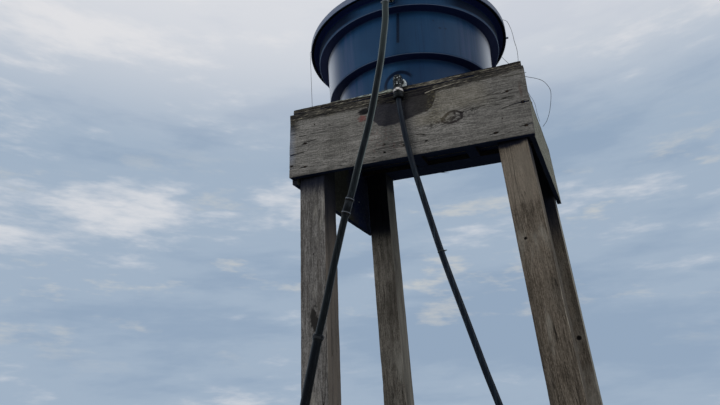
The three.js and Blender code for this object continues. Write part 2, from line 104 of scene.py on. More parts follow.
# ---------------------------------------------------------------- camera
def set_camera():
    yaw, pitch, roll = -0.3126, 0.3814, -0.0412
    ahead = Vector((math.sin(yaw) * math.cos(pitch), math.cos(yaw) * math.cos(pitch), math.sin(pitch)))
    level = Vector((math.cos(yaw), -math.sin(yaw), 0))
    over = level.cross(ahead)
    right = level * math.cos(roll) + over * math.sin(roll)
    up = over * math.cos(roll) - level * math.sin(roll)
    data = bpy.data.cameras.new("camera")
    data.sensor_width = 36
    data.lens = 28.053
    data.clip_start, data.clip_end = 0.05, 200
    camera = linked("camera", data)
    eye = (0.4601, -2.9030, 1.4852)
    camera.matrix_world = Matrix.Translation(eye) @ Matrix((right, up, -ahead)).transposed().to_4x4()
    bpy.context.scene.camera = camera


set_camera()
bpy.context.scene.view_settings.view_transform = "Standard"


# ---------------------------------------------------------------- shader maths
class Sock:
    """A node's output: arithmetic on it adds Math nodes, and node() adds any other."""

    def __init__(self, tree, socket):
        self.tree = tree
        self.socket = socket

    def node(self, kind, settings=(), sockets=(), out=0):
        made = self.tree.nodes.new("ShaderNode" + kind)
        for key, value in dict(settings).items():
            if key == "stops":
                ramp = made.color_ramp
                while len(ramp.elements) < len(value):
                    ramp.elements.new(0.5)
                for element, (place, colour) in zip(ramp.elements, value):
                    element.position, element.color = place, colour
            else:
                setattr(made, key, value)
        for key, value in dict(sockets).items():
            if isinstance(value, Sock):
                self.tree.links.new(value.socket, made.inputs[key])
            else:
                made.inputs[key].default_value = value
        return Sock(self.tree, made.outputs[out])

    def math(self, operation, *terms):
        return self.node("Math", {"operation": operation}, dict(enumerate(terms)))

    def __add__(self, other):
        return self.math("ADD", self, other)

    def __radd__(self, other):
        return self.math("ADD", other, self)

    def __sub__(self, other):
        return self.math("SUBTRACT", self, other)

    def __rsub__(self, other):
        return self.math("SUBTRACT", other, self)

    def __mul__(self, other):
        return self.math("MULTIPLY", self, other)

    def __truediv__(self, other):
        return self.math("DIVIDE", self, other)

    def __abs__(self):
        return self.math("ABSOLUTE", self)

    def root(self):
        return self.math("SQRT", self)

    def low(self, other):
        return self.math("MINIMUM", self, other)

    def high(self, other):
        return self.math("MAXIMUM", self, other)

    def wave(self):
        """0 to 1 as the value goes round."""
        return self.math("SINE", self) * 0.5 + 0.5

    def smooth(self, start, end):
        """0 before start, 1 after end; the other way round where start is the larger."""
        sockets = {"Value": self, "From Min": start, "From Max": end}
        return self.node("MapRange", {"interpolation_type": "SMOOTHSTEP"}, sockets)

    def between(self, start, end, soft):
        return self.smooth(start - soft, start + soft) * self.smooth(end + soft, end - soft)

    def parts(self):
        made = self.node("SeparateXYZ", (), {0: self}).socket.node
        return [Sock(self.tree, made.outputs[i]) for i in range(3)]

    def vector(self, x, y, z):
        return self.node("CombineXYZ", (), {0: x, 1: y, 2: z})

    def grain(self, scale, detail, rough):
        """Cloudy noise over this vector."""
        sockets = {"Vector": self, "Scale": scale, "Detail": detail, "Roughness": rough}
        return self.node("TexNoise", (), sockets)

    def cloud(self, x, y, z, detail, rough):
        """Cloudy noise over three values, each at its own scale."""
        return self.vector(x, y, z).grain(1.0, detail, rough)

    def normal(self):
        """How far a face looks along X, Y and Z."""
        return self.node("NewGeometry", (), (), "Normal").parts()

    def blend(self, before, after):
        """Goes from one colour to the other as this value goes from 0 to 1, and no further."""
        settings = {"data_type": "RGBA", "clamp_factor": True}
        return self.node("Mix", settings, {0: self, 6: before, 7: after}, 2)


def joined(masks):
    """The highest of some masks."""
    most, *rest = masks
    for mask in rest:
        most = most.high(mask)
    return most


def tone(code, light=1.0):
    """A colour from six hex digits as seen on a screen, made lighter or darker."""
    channels = [int(code[i:i + 2], 16) / 255 for i in (0, 2, 4)]
    linear = [c / 12.92 if c <= 0.04045 else ((c + 0.055) / 1.055) ** 2.4 for c in channels]
    return (*[c * light for c in linear], 1.0)


def start_finish(name):
    """A new material, its shader and the Object coordinates."""
    made = bpy.data.materials.new(name)
    made.use_nodes = True
    tree = made.node_tree
    spot = Sock(tree, None).node("TexCoord", (), (), "Object")
    return made, tree.nodes["Principled BSDF"], spot


def end_finish(shader, colour, roughness, height=None, depth=0.001, strength=1.0, **plain):
    """Joins colour, roughness and the bump of a height to the shader; plain values sit on its sockets."""
    tree = shader.id_data
    for key, value in (("Base Color", colour), ("Roughness", roughness)):
        if isinstance(value, Sock):
            tree.links.new(value.socket, shader.inputs[key])
        else:
            shader.inputs[key].default_value = value
    for key, value in plain.items():
        shader.inputs[key.replace("_", " ")].default_value = value
    if height is not None:
        bump = height.node("Bump", (), {"Height": height, "Distance": depth, "Strength": strength}, "Normal")
        tree.links.new(bump.socket, shader.inputs["Normal"])


# ---------------------------------------------------------------- making pieces
def finish_piece(name, bm, material, sharp=40, node=None):
    """Turns a bmesh into a piece of the tower."""
    mesh = bpy.data.meshes.new(name)
    bm.to_mesh(mesh)
    bm.free()
    mesh.shade_smooth()
    mesh.set_sharp_from_angle(angle=math.radians(sharp))
    mesh.materials.append(material)
    made = linked(name, mesh)
    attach(made, "root")
    if node:
        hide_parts(node)
    return made


def soften(bm, edges, reach, segments):
    """Rounds some edges of a shape."""
    bmesh.ops.bevel(bm, geom=edges, offset=reach, segments=segments, affect="EDGES", profile=0.5, material=-1)


def block(size, reach=0.0, segments=2):
    """A box about the origin, with rounded edges where their reach isn't 0."""
    bm = bmesh.new()
    bmesh.ops.create_cube(bm, size=1)
    bmesh.ops.scale(bm, vec=size, verts=bm.verts)
    if reach:
        soften(bm, bm.edges[:], reach, segments)
    return bm


def shifted(bm, way):
    bmesh.ops.translate(bm, vec=way, verts=bm.verts)
    return bm


def turned(bm, angle, axis="Z"):
    bmesh.ops.rotate(bm, cent=(0, 0, 0), matrix=Matrix.Rotation(angle, 3, axis), verts=bm.verts)
    return bm


def spun(profile, steps, closed=False):
    """A shape turned about Z from a line of (radius, height); closed joins its last point to its first."""
    bm = bmesh.new()
    points = [bm.verts.new((r, 0, z)) for r, z in profile]
    edges = [bm.edges.new(pair) for pair in zip(points, points[1:])]
    if closed:
        edges.append(bm.edges.new((points[-1], points[0])))
    bmesh.ops.spin(bm, geom=points + edges, cent=(0, 0, 0), axis=(0, 0, 1), angle=math.tau,
                   steps=steps, use_merge=True, use_duplicate=False)
    bmesh.ops.remove_doubles(bm, verts=bm.verts, dist=1e-5)
    bmesh.ops.recalc_face_normals(bm, faces=bm.faces)
    return bm


def rounded(points, radius, steps):
    """A profile with its inner corners rounded; radius is one number or one for each point."""
    out = [points[0]]
    for i in range(1, len(points) - 1):
        here, before, after = (Vector(points[k]) for k in (i, i - 1, i + 1))
        reach = radius[i] if isinstance(radius, (list, tuple)) else radius
        reach = min(reach, (before - here).length * 0.45, (after - here).length * 0.45)
        if reach < 1e-5:
            out.append(tuple(here))
            continue
        start = here + (before - here).normalized() * reach
        end = here + (after - here).normalized() * reach
        for k in range(steps + 1):
            t = k / steps
            out.append(tuple(start * (1 - t) ** 2 + here * 2 * t * (1 - t) + end * t * t))
    out.append(points[-1])
    return out


def stand_along(bm, place, way, turn=0.0):
    """Lays a shape made about Z along a direction, with its origin at a place."""
    matrix = aimed(place, Vector(way).normalized()) @ Matrix.Rotation(turn, 4, "Z")
    bmesh.ops.transform(bm, matrix=matrix, verts=bm.verts)
    return bm


def join_in(bm, other):
    """Adds another bmesh's shape to this one."""
    mesh = bpy.data.meshes.new("part")
    other.to_mesh(mesh)
    other.free()
    bm.from_mesh(mesh)
    bpy.data.meshes.remove(mesh)
    return bm


def blocks_round(bm, size, reach, place, angles):
    """Adds a block for each angle, turned about Z from its place."""
    for angle in angles:
        join_in(bm, turned(shifted(block(size, reach), place), angle))
    return bm


def evenly(count):
    """The angles of a turn in even steps."""
    return [k * math.tau / count for k in range(count)]


def swept(stations, segments=28, closed=False):
    """A round shape through stations of (point, way, radius), with its ends closed by discs, or closed
    by joining its last ring to its first."""
    bm = bmesh.new()
    first = before = None
    for place, way, radius in stations:
        ring = bmesh.ops.create_circle(bm, cap_ends=False, segments=segments, radius=radius)["verts"]
        bmesh.ops.transform(bm, matrix=aimed(place, Vector(way).normalized()), verts=ring)
        edges = list({e for v in ring for e in v.link_edges})
        if before:
            bmesh.ops.bridge_loops(bm, edges=before + edges)
        elif not closed:
            bmesh.ops.contextual_create(bm, geom=edges)
        first, before = first or edges, edges
    if closed:
        bmesh.ops.bridge_loops(bm, edges=before + first)
    else:
        bmesh.ops.contextual_create(bm, geom=before)
    bmesh.ops.recalc_face_normals(bm, faces=bm.faces)
    return bm


# ---------------------------------------------------------------- cords' routes
def smooth_route(points, steps):
    """The even points of the centripetal curve through some points, and its length."""
    pts = [Vector(p) for p in points]
    pts = [pts[0] * 2 - pts[1]] + pts + [pts[-1] * 2 - pts[-2]]
    fine = []
    for i in range(1, len(pts) - 2):
        p0, p1, p2, p3 = pts[i - 1:i + 3]
        d0, d1, d2 = ((b - a).length ** 0.5 for a, b in ((p0, p1), (p1, p2), (p2, p3)))
        t1 = ((p1 - p0) / d0 - (p2 - p0) / (d0 + d1) + (p2 - p1) / d1) * d1
        t2 = ((p2 - p1) / d1 - (p3 - p1) / (d1 + d2) + (p3 - p2) / d2) * d1
        for k in range(24):
            t = k / 24
            fine.append(p1 + t1 * t + (p2 * 3 - p1 * 3 - t1 * 2 - t2) * t * t + (p1 * 2 - p2 * 2 + t1 + t2)
                        * t ** 3)
    fine.append(pts[-2])
    lengths = [0.0]
    for a, b in zip(fine, fine[1:]):
        lengths.append(lengths[-1] + (b - a).length)
    out, j = [], 0
    for k in range(steps + 1):
        at = lengths[-1] * k / steps
        while j < len(lengths) - 2 and lengths[j + 1] < at:
            j += 1
        share = (at - lengths[j]) / max(lengths[j + 1] - lengths[j], 1e-9)
        out.append(fine[j].lerp(fine[j + 1], min(max(share, 0), 1)))
    return out, lengths[-1]


def along_route(route, length, down):
    """The point some way down a route, and its direction there."""
    steps = len(route) - 1
    at = min(max(down / length * steps, 0), steps - 1e-6)
    i = int(at)
    return route[i].lerp(route[i + 1], at - i), (route[i + 1] - route[i]).normalized()


def cord_curve(name, route, diameter, material, sides=6):
    """A hose or a wire along its route."""
    data = bpy.data.curves.new(name, "CURVE")
    data.dimensions = "3D"
    data.bevel_depth = diameter / 2
    data.bevel_resolution = sides
    data.use_fill_caps = True
    line = data.splines.new("POLY")
    line.points.add(len(route) - 1)
    for point, place in zip(line.points, route):
        point.co = (*place, 1)
    line.use_smooth = True
    data.materials.append(material)
    made = linked(name, data)
    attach(made, "root")
    return made


def metres(points):
    return [Vector(p) / 1000 for p in points]


OUT_END, OUT_DOWN = elbow_end(OUT_WAY, out_at, OUT_ARM, OUT_LEG, 0)
CLAMP_UP = 0.043
CLAMP_HIGH = OUT_END.z + CLAMP_UP
IN_END, IN_DOWN = elbow_end(IN_WAY, in_at, IN_ARM, IN_LEG, IN_LEAN)
COUPLING_HIGH = 0.080
OUTLET_ROUTE = metres([
    (-83.5, -497, 2955), (-75, -499, 2880), (-60, -499, 2760), (-41, -499, 2647), (-13, -499, 2511),
    (21, -499, 2350), (51.5, -499, 2212), (82.5, -499, 2085), (115.5, -499, 1960), (156, -499, 1804),
    (190.5, -499, 1672), (224.5, -499, 1552), (300, -499, 1270), (375, -499, 960), (438, -499, 620),
    (475, -499, 310), (480, -499, 160)])
INLET_ROUTE = metres([
    (-100, -613, 3455), (-116, -610, 3349), (-139, -606, 3214), (-166, -601, 3096), (-191, -597, 2990),
    (-221, -593, 2874), (-255, -589, 2763), (-286, -586, 2665), (-320, -583, 2551), (-362, -581, 2423),
    (-409, -579, 2255), (-441, -579, 2130), (-474, -579, 1993), (-509, -579, 1865), (-539, -579, 1741),
    (-574, -579, 1588), (-630, -579, 1290), (-676, -579, 960), (-706, -579, 610), (-719, -579, 300),
    (-720, -579, 160)])


def hose_route(end, down, route, diameter, steps):
    """The hose's way from an elbow's end through its points to the top of its coupling."""
    first = end + down * GAP
    last = Vector((route[-1].x, route[-1].y, COUPLING_HIGH + GAP))
    return smooth_route([first, first + down * diameter, *route, last], steps)


out_route, out_length = hose_route(OUT_END, OUT_DOWN, OUTLET_ROUTE, OUTLET_HOSE, 150)
in_route, in_length = hose_route(IN_END, IN_DOWN, INLET_ROUTE, INLET_HOSE, 170)


# ---------------------------------------------------------------- finishes of plastic, steel and wire
def coats(colour, layers):
    """Lays tones over a colour one after the other, each where its mask is near 1."""
    for mask, *code in layers:
        colour = mask.blend(colour, tone(*code))
    return colour


def round_axis(spot):
    """X, Y and Z, then from the tank's axis: how far out in X and Y, the distance and the direction."""
    x, y, z = spot.parts()
    out_x, out_y = x - TANK_X, y - TANK_Y
    away = (out_x * out_x + out_y * out_y).root()
    return (x, y, z), (out_x, out_y), away, (out_x / away, out_y / away)


def tank_finish():
    made, shader, spot = start_finish("tank_plastic")
    (x, y, z), (out_x, out_y), away, (ring_x, ring_y) = round_axis(spot)
    streaks = spot.cloud(ring_x * 26, ring_y * 26, z * 1.6, 4, 0.6)
    clouds = spot.grain(3.2, 3, 0.55)
    speckle = spot.grain(320, 2, 0.6)
    # painted shade: faces that look down turn dark navy
    under = spot.normal()[2].smooth(-0.35, -0.8)
    colour = clouds.smooth(0.3, 0.7).blend(tone("10304f"), tone("163858"))
    dust = speckle.smooth(0.52, 0.8) * clouds.smooth(0.35, 0.65) * 0.16
    side = ring_x * ASIDE_X + ring_y * ASIDE_Y
    ahead = ring_x * ASIDE_Y - ring_y * ASIDE_X
    # painted sheen: the sky's reflection down the two lower tiers' left and right sides, seen from the camera
    painted_sheen = (abs(side) + 0.02).smooth(0.72, 1.00)
    painted_sheen = painted_sheen * painted_sheen * ahead.smooth(-0.6, -0.1) * z.smooth(HIGH_LEDGE + 0.002, HIGH_LEDGE - 0.004)
    # painted sheen, purplish, in streaks beside that reflection
    lilac_sheen = abs(side).between(0.60, 0.86, 0.10) * streaks.smooth(0.40, 0.60) * 0.35
    crown = z.smooth(HIGH_LEDGE + 0.004, HIGH_LEDGE + 0.02)
    shade = side.smooth(0.30, 0.56).high((0 - side).smooth(0.34, 0.62)) * crown
    shade = shade.high(z.smooth(RIM - 0.042, RIM - 0.012) * away.smooth(0.575, 0.562) * 0.75)
    # painted highlight along the rounded outer edge of each ledge
    wear_and_highlight = joined(z.between(ledge, ledge + 0.0032, 0.0012) * away.smooth(*edge) for ledge, edge in (
        (HIGH_LEDGE, (0.5530, 0.5555)), (LOW_LEDGE, (0.4910, 0.4935))))
    # painted shade on the low tier's right side
    low_tier_shade = z.smooth(LOW_LEDGE, LOW_LEDGE - 0.01) * side.smooth(-0.2, 0.1) * 0.45
    # painted shade on the wall just under each ledge
    shade_below = joined(z.between(ledge - drop, ledge, 0.012) * away.smooth(*edge) for ledge, drop, edge in (
        (LOW_LEDGE, 0.028, (0.456, 0.444)), (HIGH_LEDGE, 0.030, (0.520, 0.511))))
    rise = z - OUT_HIGH
    across = x - TANK_X - OUT_ASIDE
    ring = (across * across + rise * rise).root()
    # painted shade on the upper wall of the outlet's recess
    recess_shade = ring.between(0.0700, 0.0870, 0.004) * y.smooth(-0.3, -0.36)
    recess_shade = recess_shade * (rise / ring - across / ring * 0.5).smooth(-0.05, 0.4)
    splash = z.smooth(DECK_TOP + 0.05, DECK_TOP + 0.005) * streaks.smooth(0.35, 0.6) * 0.5
    # painted shade in the groove on the middle tier
    groove_shade = abs(out_x * 0.9932 + out_y * 0.1173 - (z - GROOVE_HIGH) * GROOVE_TILT).smooth(0.0105, 0.0055)
    groove_shade = groove_shade * z.between(3.390, HIGH_LEDGE - 0.005, 0.004) * y.smooth(-0.3, -0.36)
    colour = coats(colour, (
        (streaks.smooth(0.52, 0.8) * 0.5, "2c4660"),
        (streaks.smooth(0.45, 0.25) * 0.6, "0d2340"),
        (dust, "556676"),
        (painted_sheen * (0.68 + streaks * 0.7), "c0c5d0"),
        (lilac_sheen, "3f4468"),
        (shade * 0.96, "020b20"),
        (under * 0.95, "03174a"),
        (wear_and_highlight * 0.6, "73849a"),
        (low_tier_shade, "061c3c"),
        (shade_below * 0.35, "0b1c34"),
        (recess_shade * 0.9, "040f26"),
        (splash, "4a4f4c"),
        (groove_shade * 0.85, "07172f")))
    for px, pz, size in ((0.146, 3.479, 0.006), (0.174, 3.481, 0.005), (0.118, 3.523, 0.004)):
        off_x, off_z = x - px, z - pz
        reach = off_x * off_x + off_z * off_z
        dot = reach.smooth((size * 1.5) ** 2, (size * 0.6) ** 2) * y.smooth(-0.3, -0.34)
        colour = (dot * 0.7).blend(colour, tone("0d1a30"))
    roughness = 0.36 + streaks * 0.12 + dust * 0.4 + under * 0.3 + shade * 0.3
    height = speckle * 0.25 + streaks * 0.6 + clouds * 0.8
    end_finish(shader, colour, roughness, height, depth=0.0012, strength=0.3, IOR=1.5)
    return made


def lid_finish():
    made, shader, spot = start_finish("lid_plastic")
    (x, y, z), (out_x, out_y), away, (ring_x, ring_y) = round_axis(spot)
    runs = spot.cloud(ring_x * 18, ring_y * 18, away * 3.0, 4, 0.6)
    clouds = spot.grain(4.5, 4, 0.6)
    speckle = spot.grain(300, 2, 0.6)
    up = spot.normal()[2]
    colour = clouds.smooth(0.32, 0.68).blend(tone("173352"), tone("1f3f60"))
    dirt = up.smooth(0.3, 0.9) * (clouds * 0.6 + runs * 0.7).smooth(0.5, 0.85)
    moss = up.smooth(0.4, 0.9) * spot.grain(38, 5, 0.7).smooth(0.58, 0.7) * clouds.smooth(0.45, 0.6)
    # painted sky light on the skirt, stronger on its fine moulded lines
    skirt = away.smooth(0.600, 0.606) * z.between(RIM + 0.002, LID_TOP - 0.004, 0.003)
    lines = (out_y.math("ARCTAN2", out_y, out_x) * 420).wave()
    # painted highlight on the skirt at the camera's left
    left = (0 - ring_x * ASIDE_X - ring_y * ASIDE_Y).smooth(0.80, 0.99)
    # painted shade on faces that look down
    under = up.smooth(-0.3, -0.8)
    # painted shade inside the skirt
    inside = away.smooth(0.6045, 0.6030) * z.smooth(LID_TOP, RIM + 0.03)
    roughness = 0.34 + runs * 0.2 + dirt * 0.3
    height = speckle * 0.2 + runs * 0.8 + clouds * 0.6 + skirt * lines * 0.5
    colour = coats(colour, (
        (dirt * 0.75, "6f7471"),
        (moss * 0.8, "3a3f30"),
        (skirt * (0.20 + lines * 0.35), "8a8c9c"),
        (skirt * left * 0.5, "a9adb8"),
        (under * 0.9, "0b1a38"),
        (inside * 0.85, "061b4a")))
    end_finish(shader, colour, roughness, height, depth=0.001, strength=0.4, IOR=1.5)
    return made


def fitting_finish(name, base, dust_tone, rough, share, specks=0.0):
    """Moulded plastic with dust on it, and specks of lime above the outlet's clamp."""
    made, shader, spot = start_finish(name)
    clouds = spot.grain(46, 4, 0.65)
    fine = spot.grain(420, 3, 0.6)
    up = spot.normal()[2]
    colour = clouds.smooth(0.3, 0.7).blend(tone(base, 0.75), tone(base, 1.2))
    dust = (clouds * 0.7 + fine * 0.5).smooth(0.55, 0.75) * (0.45 + up.smooth(-0.2, 0.8) * 0.55) * share
    colour = dust.blend(colour, tone(dust_tone))
    if specks:
        lime = spot.grain(120, 2, 0.6).smooth(0.585, 0.62) * spot.grain(50, 2, 0.5).smooth(0.36, 0.50)
        above = spot.parts()[2].smooth(CLAMP_HIGH - 0.006, CLAMP_HIGH + 0.006)
        colour = (lime * specks * above).blend(colour, tone("d4dadb"))
    end_finish(shader, colour, rough + dust * 0.35 + fine * 0.08, fine * 0.5 + clouds, depth=0.0005,
               strength=0.5, IOR=1.48)
    return made


def hose_finish(name, base, film, share, highlight_above=2.6):
    """Black pipe: a bluish film, dust lying lengthwise, scuffs, and a painted highlight of the sky on
    the edges of its upper part.
    """
    made, shader, spot = start_finish(name)
    x, y, z = spot.parts()
    runs = spot.cloud(x * 160, y * 160, z * 3.0, 4, 0.6)
    scuffs = spot.cloud(x * 420, y * 420, z * 22, 3, 0.65)
    clouds = spot.cloud(x * 8, y * 8, z * 5, 3, 0.6)
    colour = clouds.smooth(0.3, 0.7).blend(tone(base), tone(base, 1.6))
    look = spot.normal()
    # painted highlight of the sky on the pipe's left and right edges as seen from the camera, up high
    rim = abs(look[0] * ASIDE_X + look[1] * ASIDE_Y).smooth(0.72, 0.98)
    pale = rim * z.smooth(highlight_above - 0.12, highlight_above + 0.12)
    roughness = 0.24 + runs * 0.18 + scuffs.smooth(0.6, 0.75) * 0.25
    colour = coats(colour, (
        (runs.smooth(0.5, 0.72) * share, film),
        (scuffs.smooth(0.66, 0.74) * 0.35, "5c6467"),
        (z.smooth(3.10, 3.36) * 0.3, "3d4846"),
        (pale * (0.55 + scuffs * 0.7), "8d9a99")))
    end_finish(shader, colour, roughness, runs * 0.6 + scuffs * 0.3 + clouds, depth=0.0006, strength=0.4,
               IOR=1.5)
    return made


def metal_finish(name, base, stain, rough, metallic, share, edge=None):
    """Worn steel. edge: a band's (middle, way); the band gets painted shade under its upper rim, which
    stays bright as a painted highlight.
    """
    made, shader, spot = start_finish(name)
    clouds = spot.grain(70, 4, 0.65)
    fine = spot.grain(900, 3, 0.6)
    colour = clouds.smooth(0.3, 0.7).blend(tone(base, 0.8), tone(base))
    if edge is not None:
        place, way = edge
        x, y, z = spot.parts()
        off = (x - place.x) * way.x + (y - place.y) * way.y + (z - place.z) * way.z
        # painted shade on the band under its upper rim
        colour = (off.smooth(-0.0028, -0.0006) * 0.96).blend(colour, tone("0b0c10"))
    rust = (clouds * 0.8 + fine * 0.4).smooth(0.56, 0.72) * share
    colour = rust.blend(colour, tone(stain))
    end_finish(shader, colour, rough + rust * 0.3 + fine * 0.08, fine + clouds, depth=0.0003, strength=0.5,
               Metallic=metallic)
    return made


TANK = tank_finish()
LID = lid_finish()
WHITE = fitting_finish("white_plastic", "dfe6e6", "8b8f88", 0.30, 0.6)
BLACK = fitting_finish("black_plastic", "05070a", "565b5c", 0.34, 0.22, specks=0.95)
COUPLING = fitting_finish("coupling_plastic", "1f2427", "6f6a5c", 0.45, 0.8)
OUT_PIPE = hose_finish("outlet_pipe", "070c15", "2b3a46", 0.6, highlight_above=9.0)
IN_PIPE = hose_finish("inlet_pipe", "06090c", "222b2f", 0.5)
LOWER_PIPE = hose_finish("lower_pipe", "04060b", "161c24", 0.5)
SLEEVE = hose_finish("sleeve_rubber", "07090d", "1d2228", 0.5, highlight_above=3.2)
STEEL = metal_finish("clamp_steel", "b2b6ba", "4f463e", 0.30, 0.9, 0.5)
BRIGHT_STEEL = metal_finish("bright_steel", "e6e1df", "8a7f7a", 0.38, 0.2, 0.4)
DULL_STEEL = metal_finish("dull_steel", "4d4f53", "241d1a", 0.45, 0.8, 0.9)
TIE = metal_finish("tie_wire", "45423e", "3a2c22", 0.5, 0.6, 0.8)
NAIL = metal_finish("nail_steel", "2c2622", "4a2f1f", 0.7, 0.5, 0.9)

# ---------------------------------------------------------------- the hoses
outlet_hose = cord_curve("outlet_hose_pipe", out_route, OUTLET_HOSE, OUT_PIPE)
inlet_hose = cord_curve("inlet_hose_pipe", in_route, INLET_HOSE, IN_PIPE)
for hose, node in ((outlet_hose, "outlet_hose"), (inlet_hose, "inlet_hose")):
    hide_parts(node)


def worm_clamp(name, place, way, radius, turn, node, metal):
    """A steel band with its screw housing, round a hose."""
    wide, thick = 0.012, 0.0013
    half = wide / 2
    profile = [(radius, -half), (radius + thick, -half), (radius + thick + 0.0003, 0), (radius + thick, half),
               (radius, half)]
    bm = spun(profile, 48, closed=True)
    join_in(bm, shifted(block((0.0085, 0.016, 0.0125), 0.0018, 3), (radius + 0.0048, 0, 0)))
    screw = spun([(0, -0.013), (0.0032, -0.013), (0.0036, -0.0125), (0.0036, -0.009), (0.0026, -0.0085),
                  (0.0026, 0.009), (0.0022, 0.0095), (0, 0.0095)], 12)
    join_in(bm, shifted(turned(screw, math.pi / 2, "X"), (radius + 0.0062, 0, 0)))
    notches = [0.32 + k * 0.085 for k in range(14)]
    blocks_round(bm, (0.0006, 0.0011, 0.0075), 0, (radius + thick + 0.0002, 0, 0), notches)
    stand_along(bm, place, way, turn)
    return finish_piece(name, bm, metal, node=node)


def coupling_piece(name, foot, hose, node):
    """The screwed coupling that ends a hose at the ground."""
    wide = hose / 2 + 0.008
    low = 0.008
    profile = [(0, low), (wide - 0.005, low), (wide - 0.004, low + 0.001)]
    for k in range(5):
        z = low + 0.004 + k * 0.004
        profile += [(wide - 0.0045, z), (wide - 0.0062, z + 0.002)]
    profile += [(wide - 0.0045, 0.033), (wide - 0.0005, 0.0345), (wide - 0.0005, 0.065),
                (wide - 0.002, 0.0665), (wide - 0.004, 0.0745), (wide - 0.0045, 0.079),
                (wide - 0.006, 0.0798), (0, 0.0798)]
    bm = spun(rounded(profile, 0.0008, 2), 48)
    blocks_round(bm, (0.0022, 0.005, 0.027), 0.0006, (wide - 0.0013, 0, 0.0498), evenly(12))
    return finish_piece(name, shifted(bm, (foot.x, foot.y, 0)), COUPLING, node=node)


# how far down the inlet hose each piece on it sits
INLET_CLAMP_DOWN, LOW_CLAMP_DOWN = 0.020, 1.772
UPPER_CLAMP_DOWN, SLEEVE_DOWN, LOWER_CLAMP_DOWN = 1.125, 1.159, 1.193
SLEEVE_OUT, MOUTH_RADIUS = INLET_HOSE / 2 + 0.0031, 0.0235
CLAMP_ROOM = 0.0004  # between a clamp's band and what it holds
TIE_DOWN = 0.845  # the tie's place down the outlet hose


def clamp_on(name, down, radius, turn, node, metal=None):
    """A clamp on the inlet hose; one without a metal of its own gets painted shade under its upper
    rim, which stays bright as a painted highlight.
    """
    place, way = along_route(in_route, in_length, down)
    metal = metal or metal_finish(name + "_steel", "a9adb6", "4f463e", 0.34, 0.85, 0.6, edge=(place, way))
    return worm_clamp(name, place, way, radius, turn, node, metal)


worm_clamp("outlet_clamp_band", OUT_END - OUT_DOWN * CLAMP_UP, OUT_DOWN, 0.0244, 4.5, "outlet_clamp",
           BRIGHT_STEEL)
inlet_clamp = clamp_on("inlet_clamp_band", INLET_CLAMP_DOWN, INLET_HOSE / 2, 1.97, "inlet_clamp", STEEL)
upper_clamp = clamp_on("sleeve_clamp_up", UPPER_CLAMP_DOWN, SLEEVE_OUT + CLAMP_ROOM, 2.9,
                       "inlet_sleeve_clamp_upper")
lower_clamp = clamp_on("sleeve_clamp_down", LOWER_CLAMP_DOWN, SLEEVE_OUT + CLAMP_ROOM, 2.5,
                       "inlet_sleeve_clamp_lower")
low_clamp = clamp_on("inlet_low_band", LOW_CLAMP_DOWN, MOUTH_RADIUS + CLAMP_ROOM, 2.7, "inlet_low_clamp",
                     DULL_STEEL)


def sleeve_piece():
    """The rubber sleeve that joins the inlet hose, with a raised rim and band at each end."""
    place, way = along_route(in_route, in_length, SLEEVE_DOWN)
    inner = INLET_HOSE / 2 + GAP
    profile = [(inner, -0.046), (SLEEVE_OUT - 0.0006, -0.046), (SLEEVE_OUT, -0.0454), (SLEEVE_OUT, -0.041),
               (SLEEVE_OUT - 0.0007, -0.040), (SLEEVE_OUT - 0.0007, -0.028), (SLEEVE_OUT, -0.027),
               (SLEEVE_OUT, 0.027), (SLEEVE_OUT - 0.0007, 0.028), (SLEEVE_OUT - 0.0007, 0.040),
               (SLEEVE_OUT, 0.041), (SLEEVE_OUT, 0.0454), (SLEEVE_OUT - 0.0006, 0.046), (inner, 0.046)]
    bm = stand_along(spun(profile, 40, closed=True), place, way)
    return finish_piece("inlet_sleeve_rubber", bm, SLEEVE, node="inlet_sleeve")


def lower_hose_piece():
    """The wider hose round the inlet hose, from its thick mouth under the low clamp to the coupling."""
    place, way = along_route(in_route, in_length, LOW_CLAMP_DOWN)
    inner, outer = INLET_HOSE / 2 + 0.0008, LOWER_HOSE / 2
    stations = [(place + way * reach, way, radius) for reach, radius in (
        (-0.0130, inner), (-0.0130, MOUTH_RADIUS - 0.0012), (-0.0122, MOUTH_RADIUS - 0.0003),
        (-0.0110, MOUTH_RADIUS), (0.0105, MOUTH_RADIUS), (0.0120, MOUTH_RADIUS - 0.0006),
        (0.0130, outer + 0.0006), (0.0150, outer))]
    step = 0.030
    steps = round((in_length - LOW_CLAMP_DOWN) / step)
    downs = [LOW_CLAMP_DOWN + step + (in_length - LOW_CLAMP_DOWN - 0.0315) * k / steps
             for k in range(steps + 1)]
    stations += [(*along_route(in_route, in_length, down), outer) for down in downs]
    foot, foot_way = along_route(in_route, in_length, in_length - 0.0006)
    stations += [(foot, foot_way, outer - 0.0008), (foot, foot_way, inner)]
    stations += [(*along_route(in_route, in_length, down), inner) for down in reversed(downs)]
    return finish_piece("inlet_lower_pipe", swept(stations, 36, closed=True), LOWER_PIPE,
                        node="inlet_lower_hose")


def tie_band(down):
    """A narrow tie left on the outlet hose, with its cut tail."""
    place, way = along_route(out_route, out_length, down)
    radius = OUTLET_HOSE / 2
    bm = spun([(radius + 0.0002, -0.002), (radius + 0.0014, -0.002), (radius + 0.0016, 0),
               (radius + 0.0014, 0.002), (radius + 0.0002, 0.002)], 40, closed=True)
    join_in(bm, shifted(block((0.006, 0.0065, 0.006), 0.001), (radius + 0.0032, 0, 0)))
    join_in(bm, shifted(block((0.010, 0.0013, 0.0035)), (radius + 0.0085, 0.001, 0)))
    stand_along(bm, place, way, 1.2)
    return finish_piece("outlet_tie", bm, COUPLING)


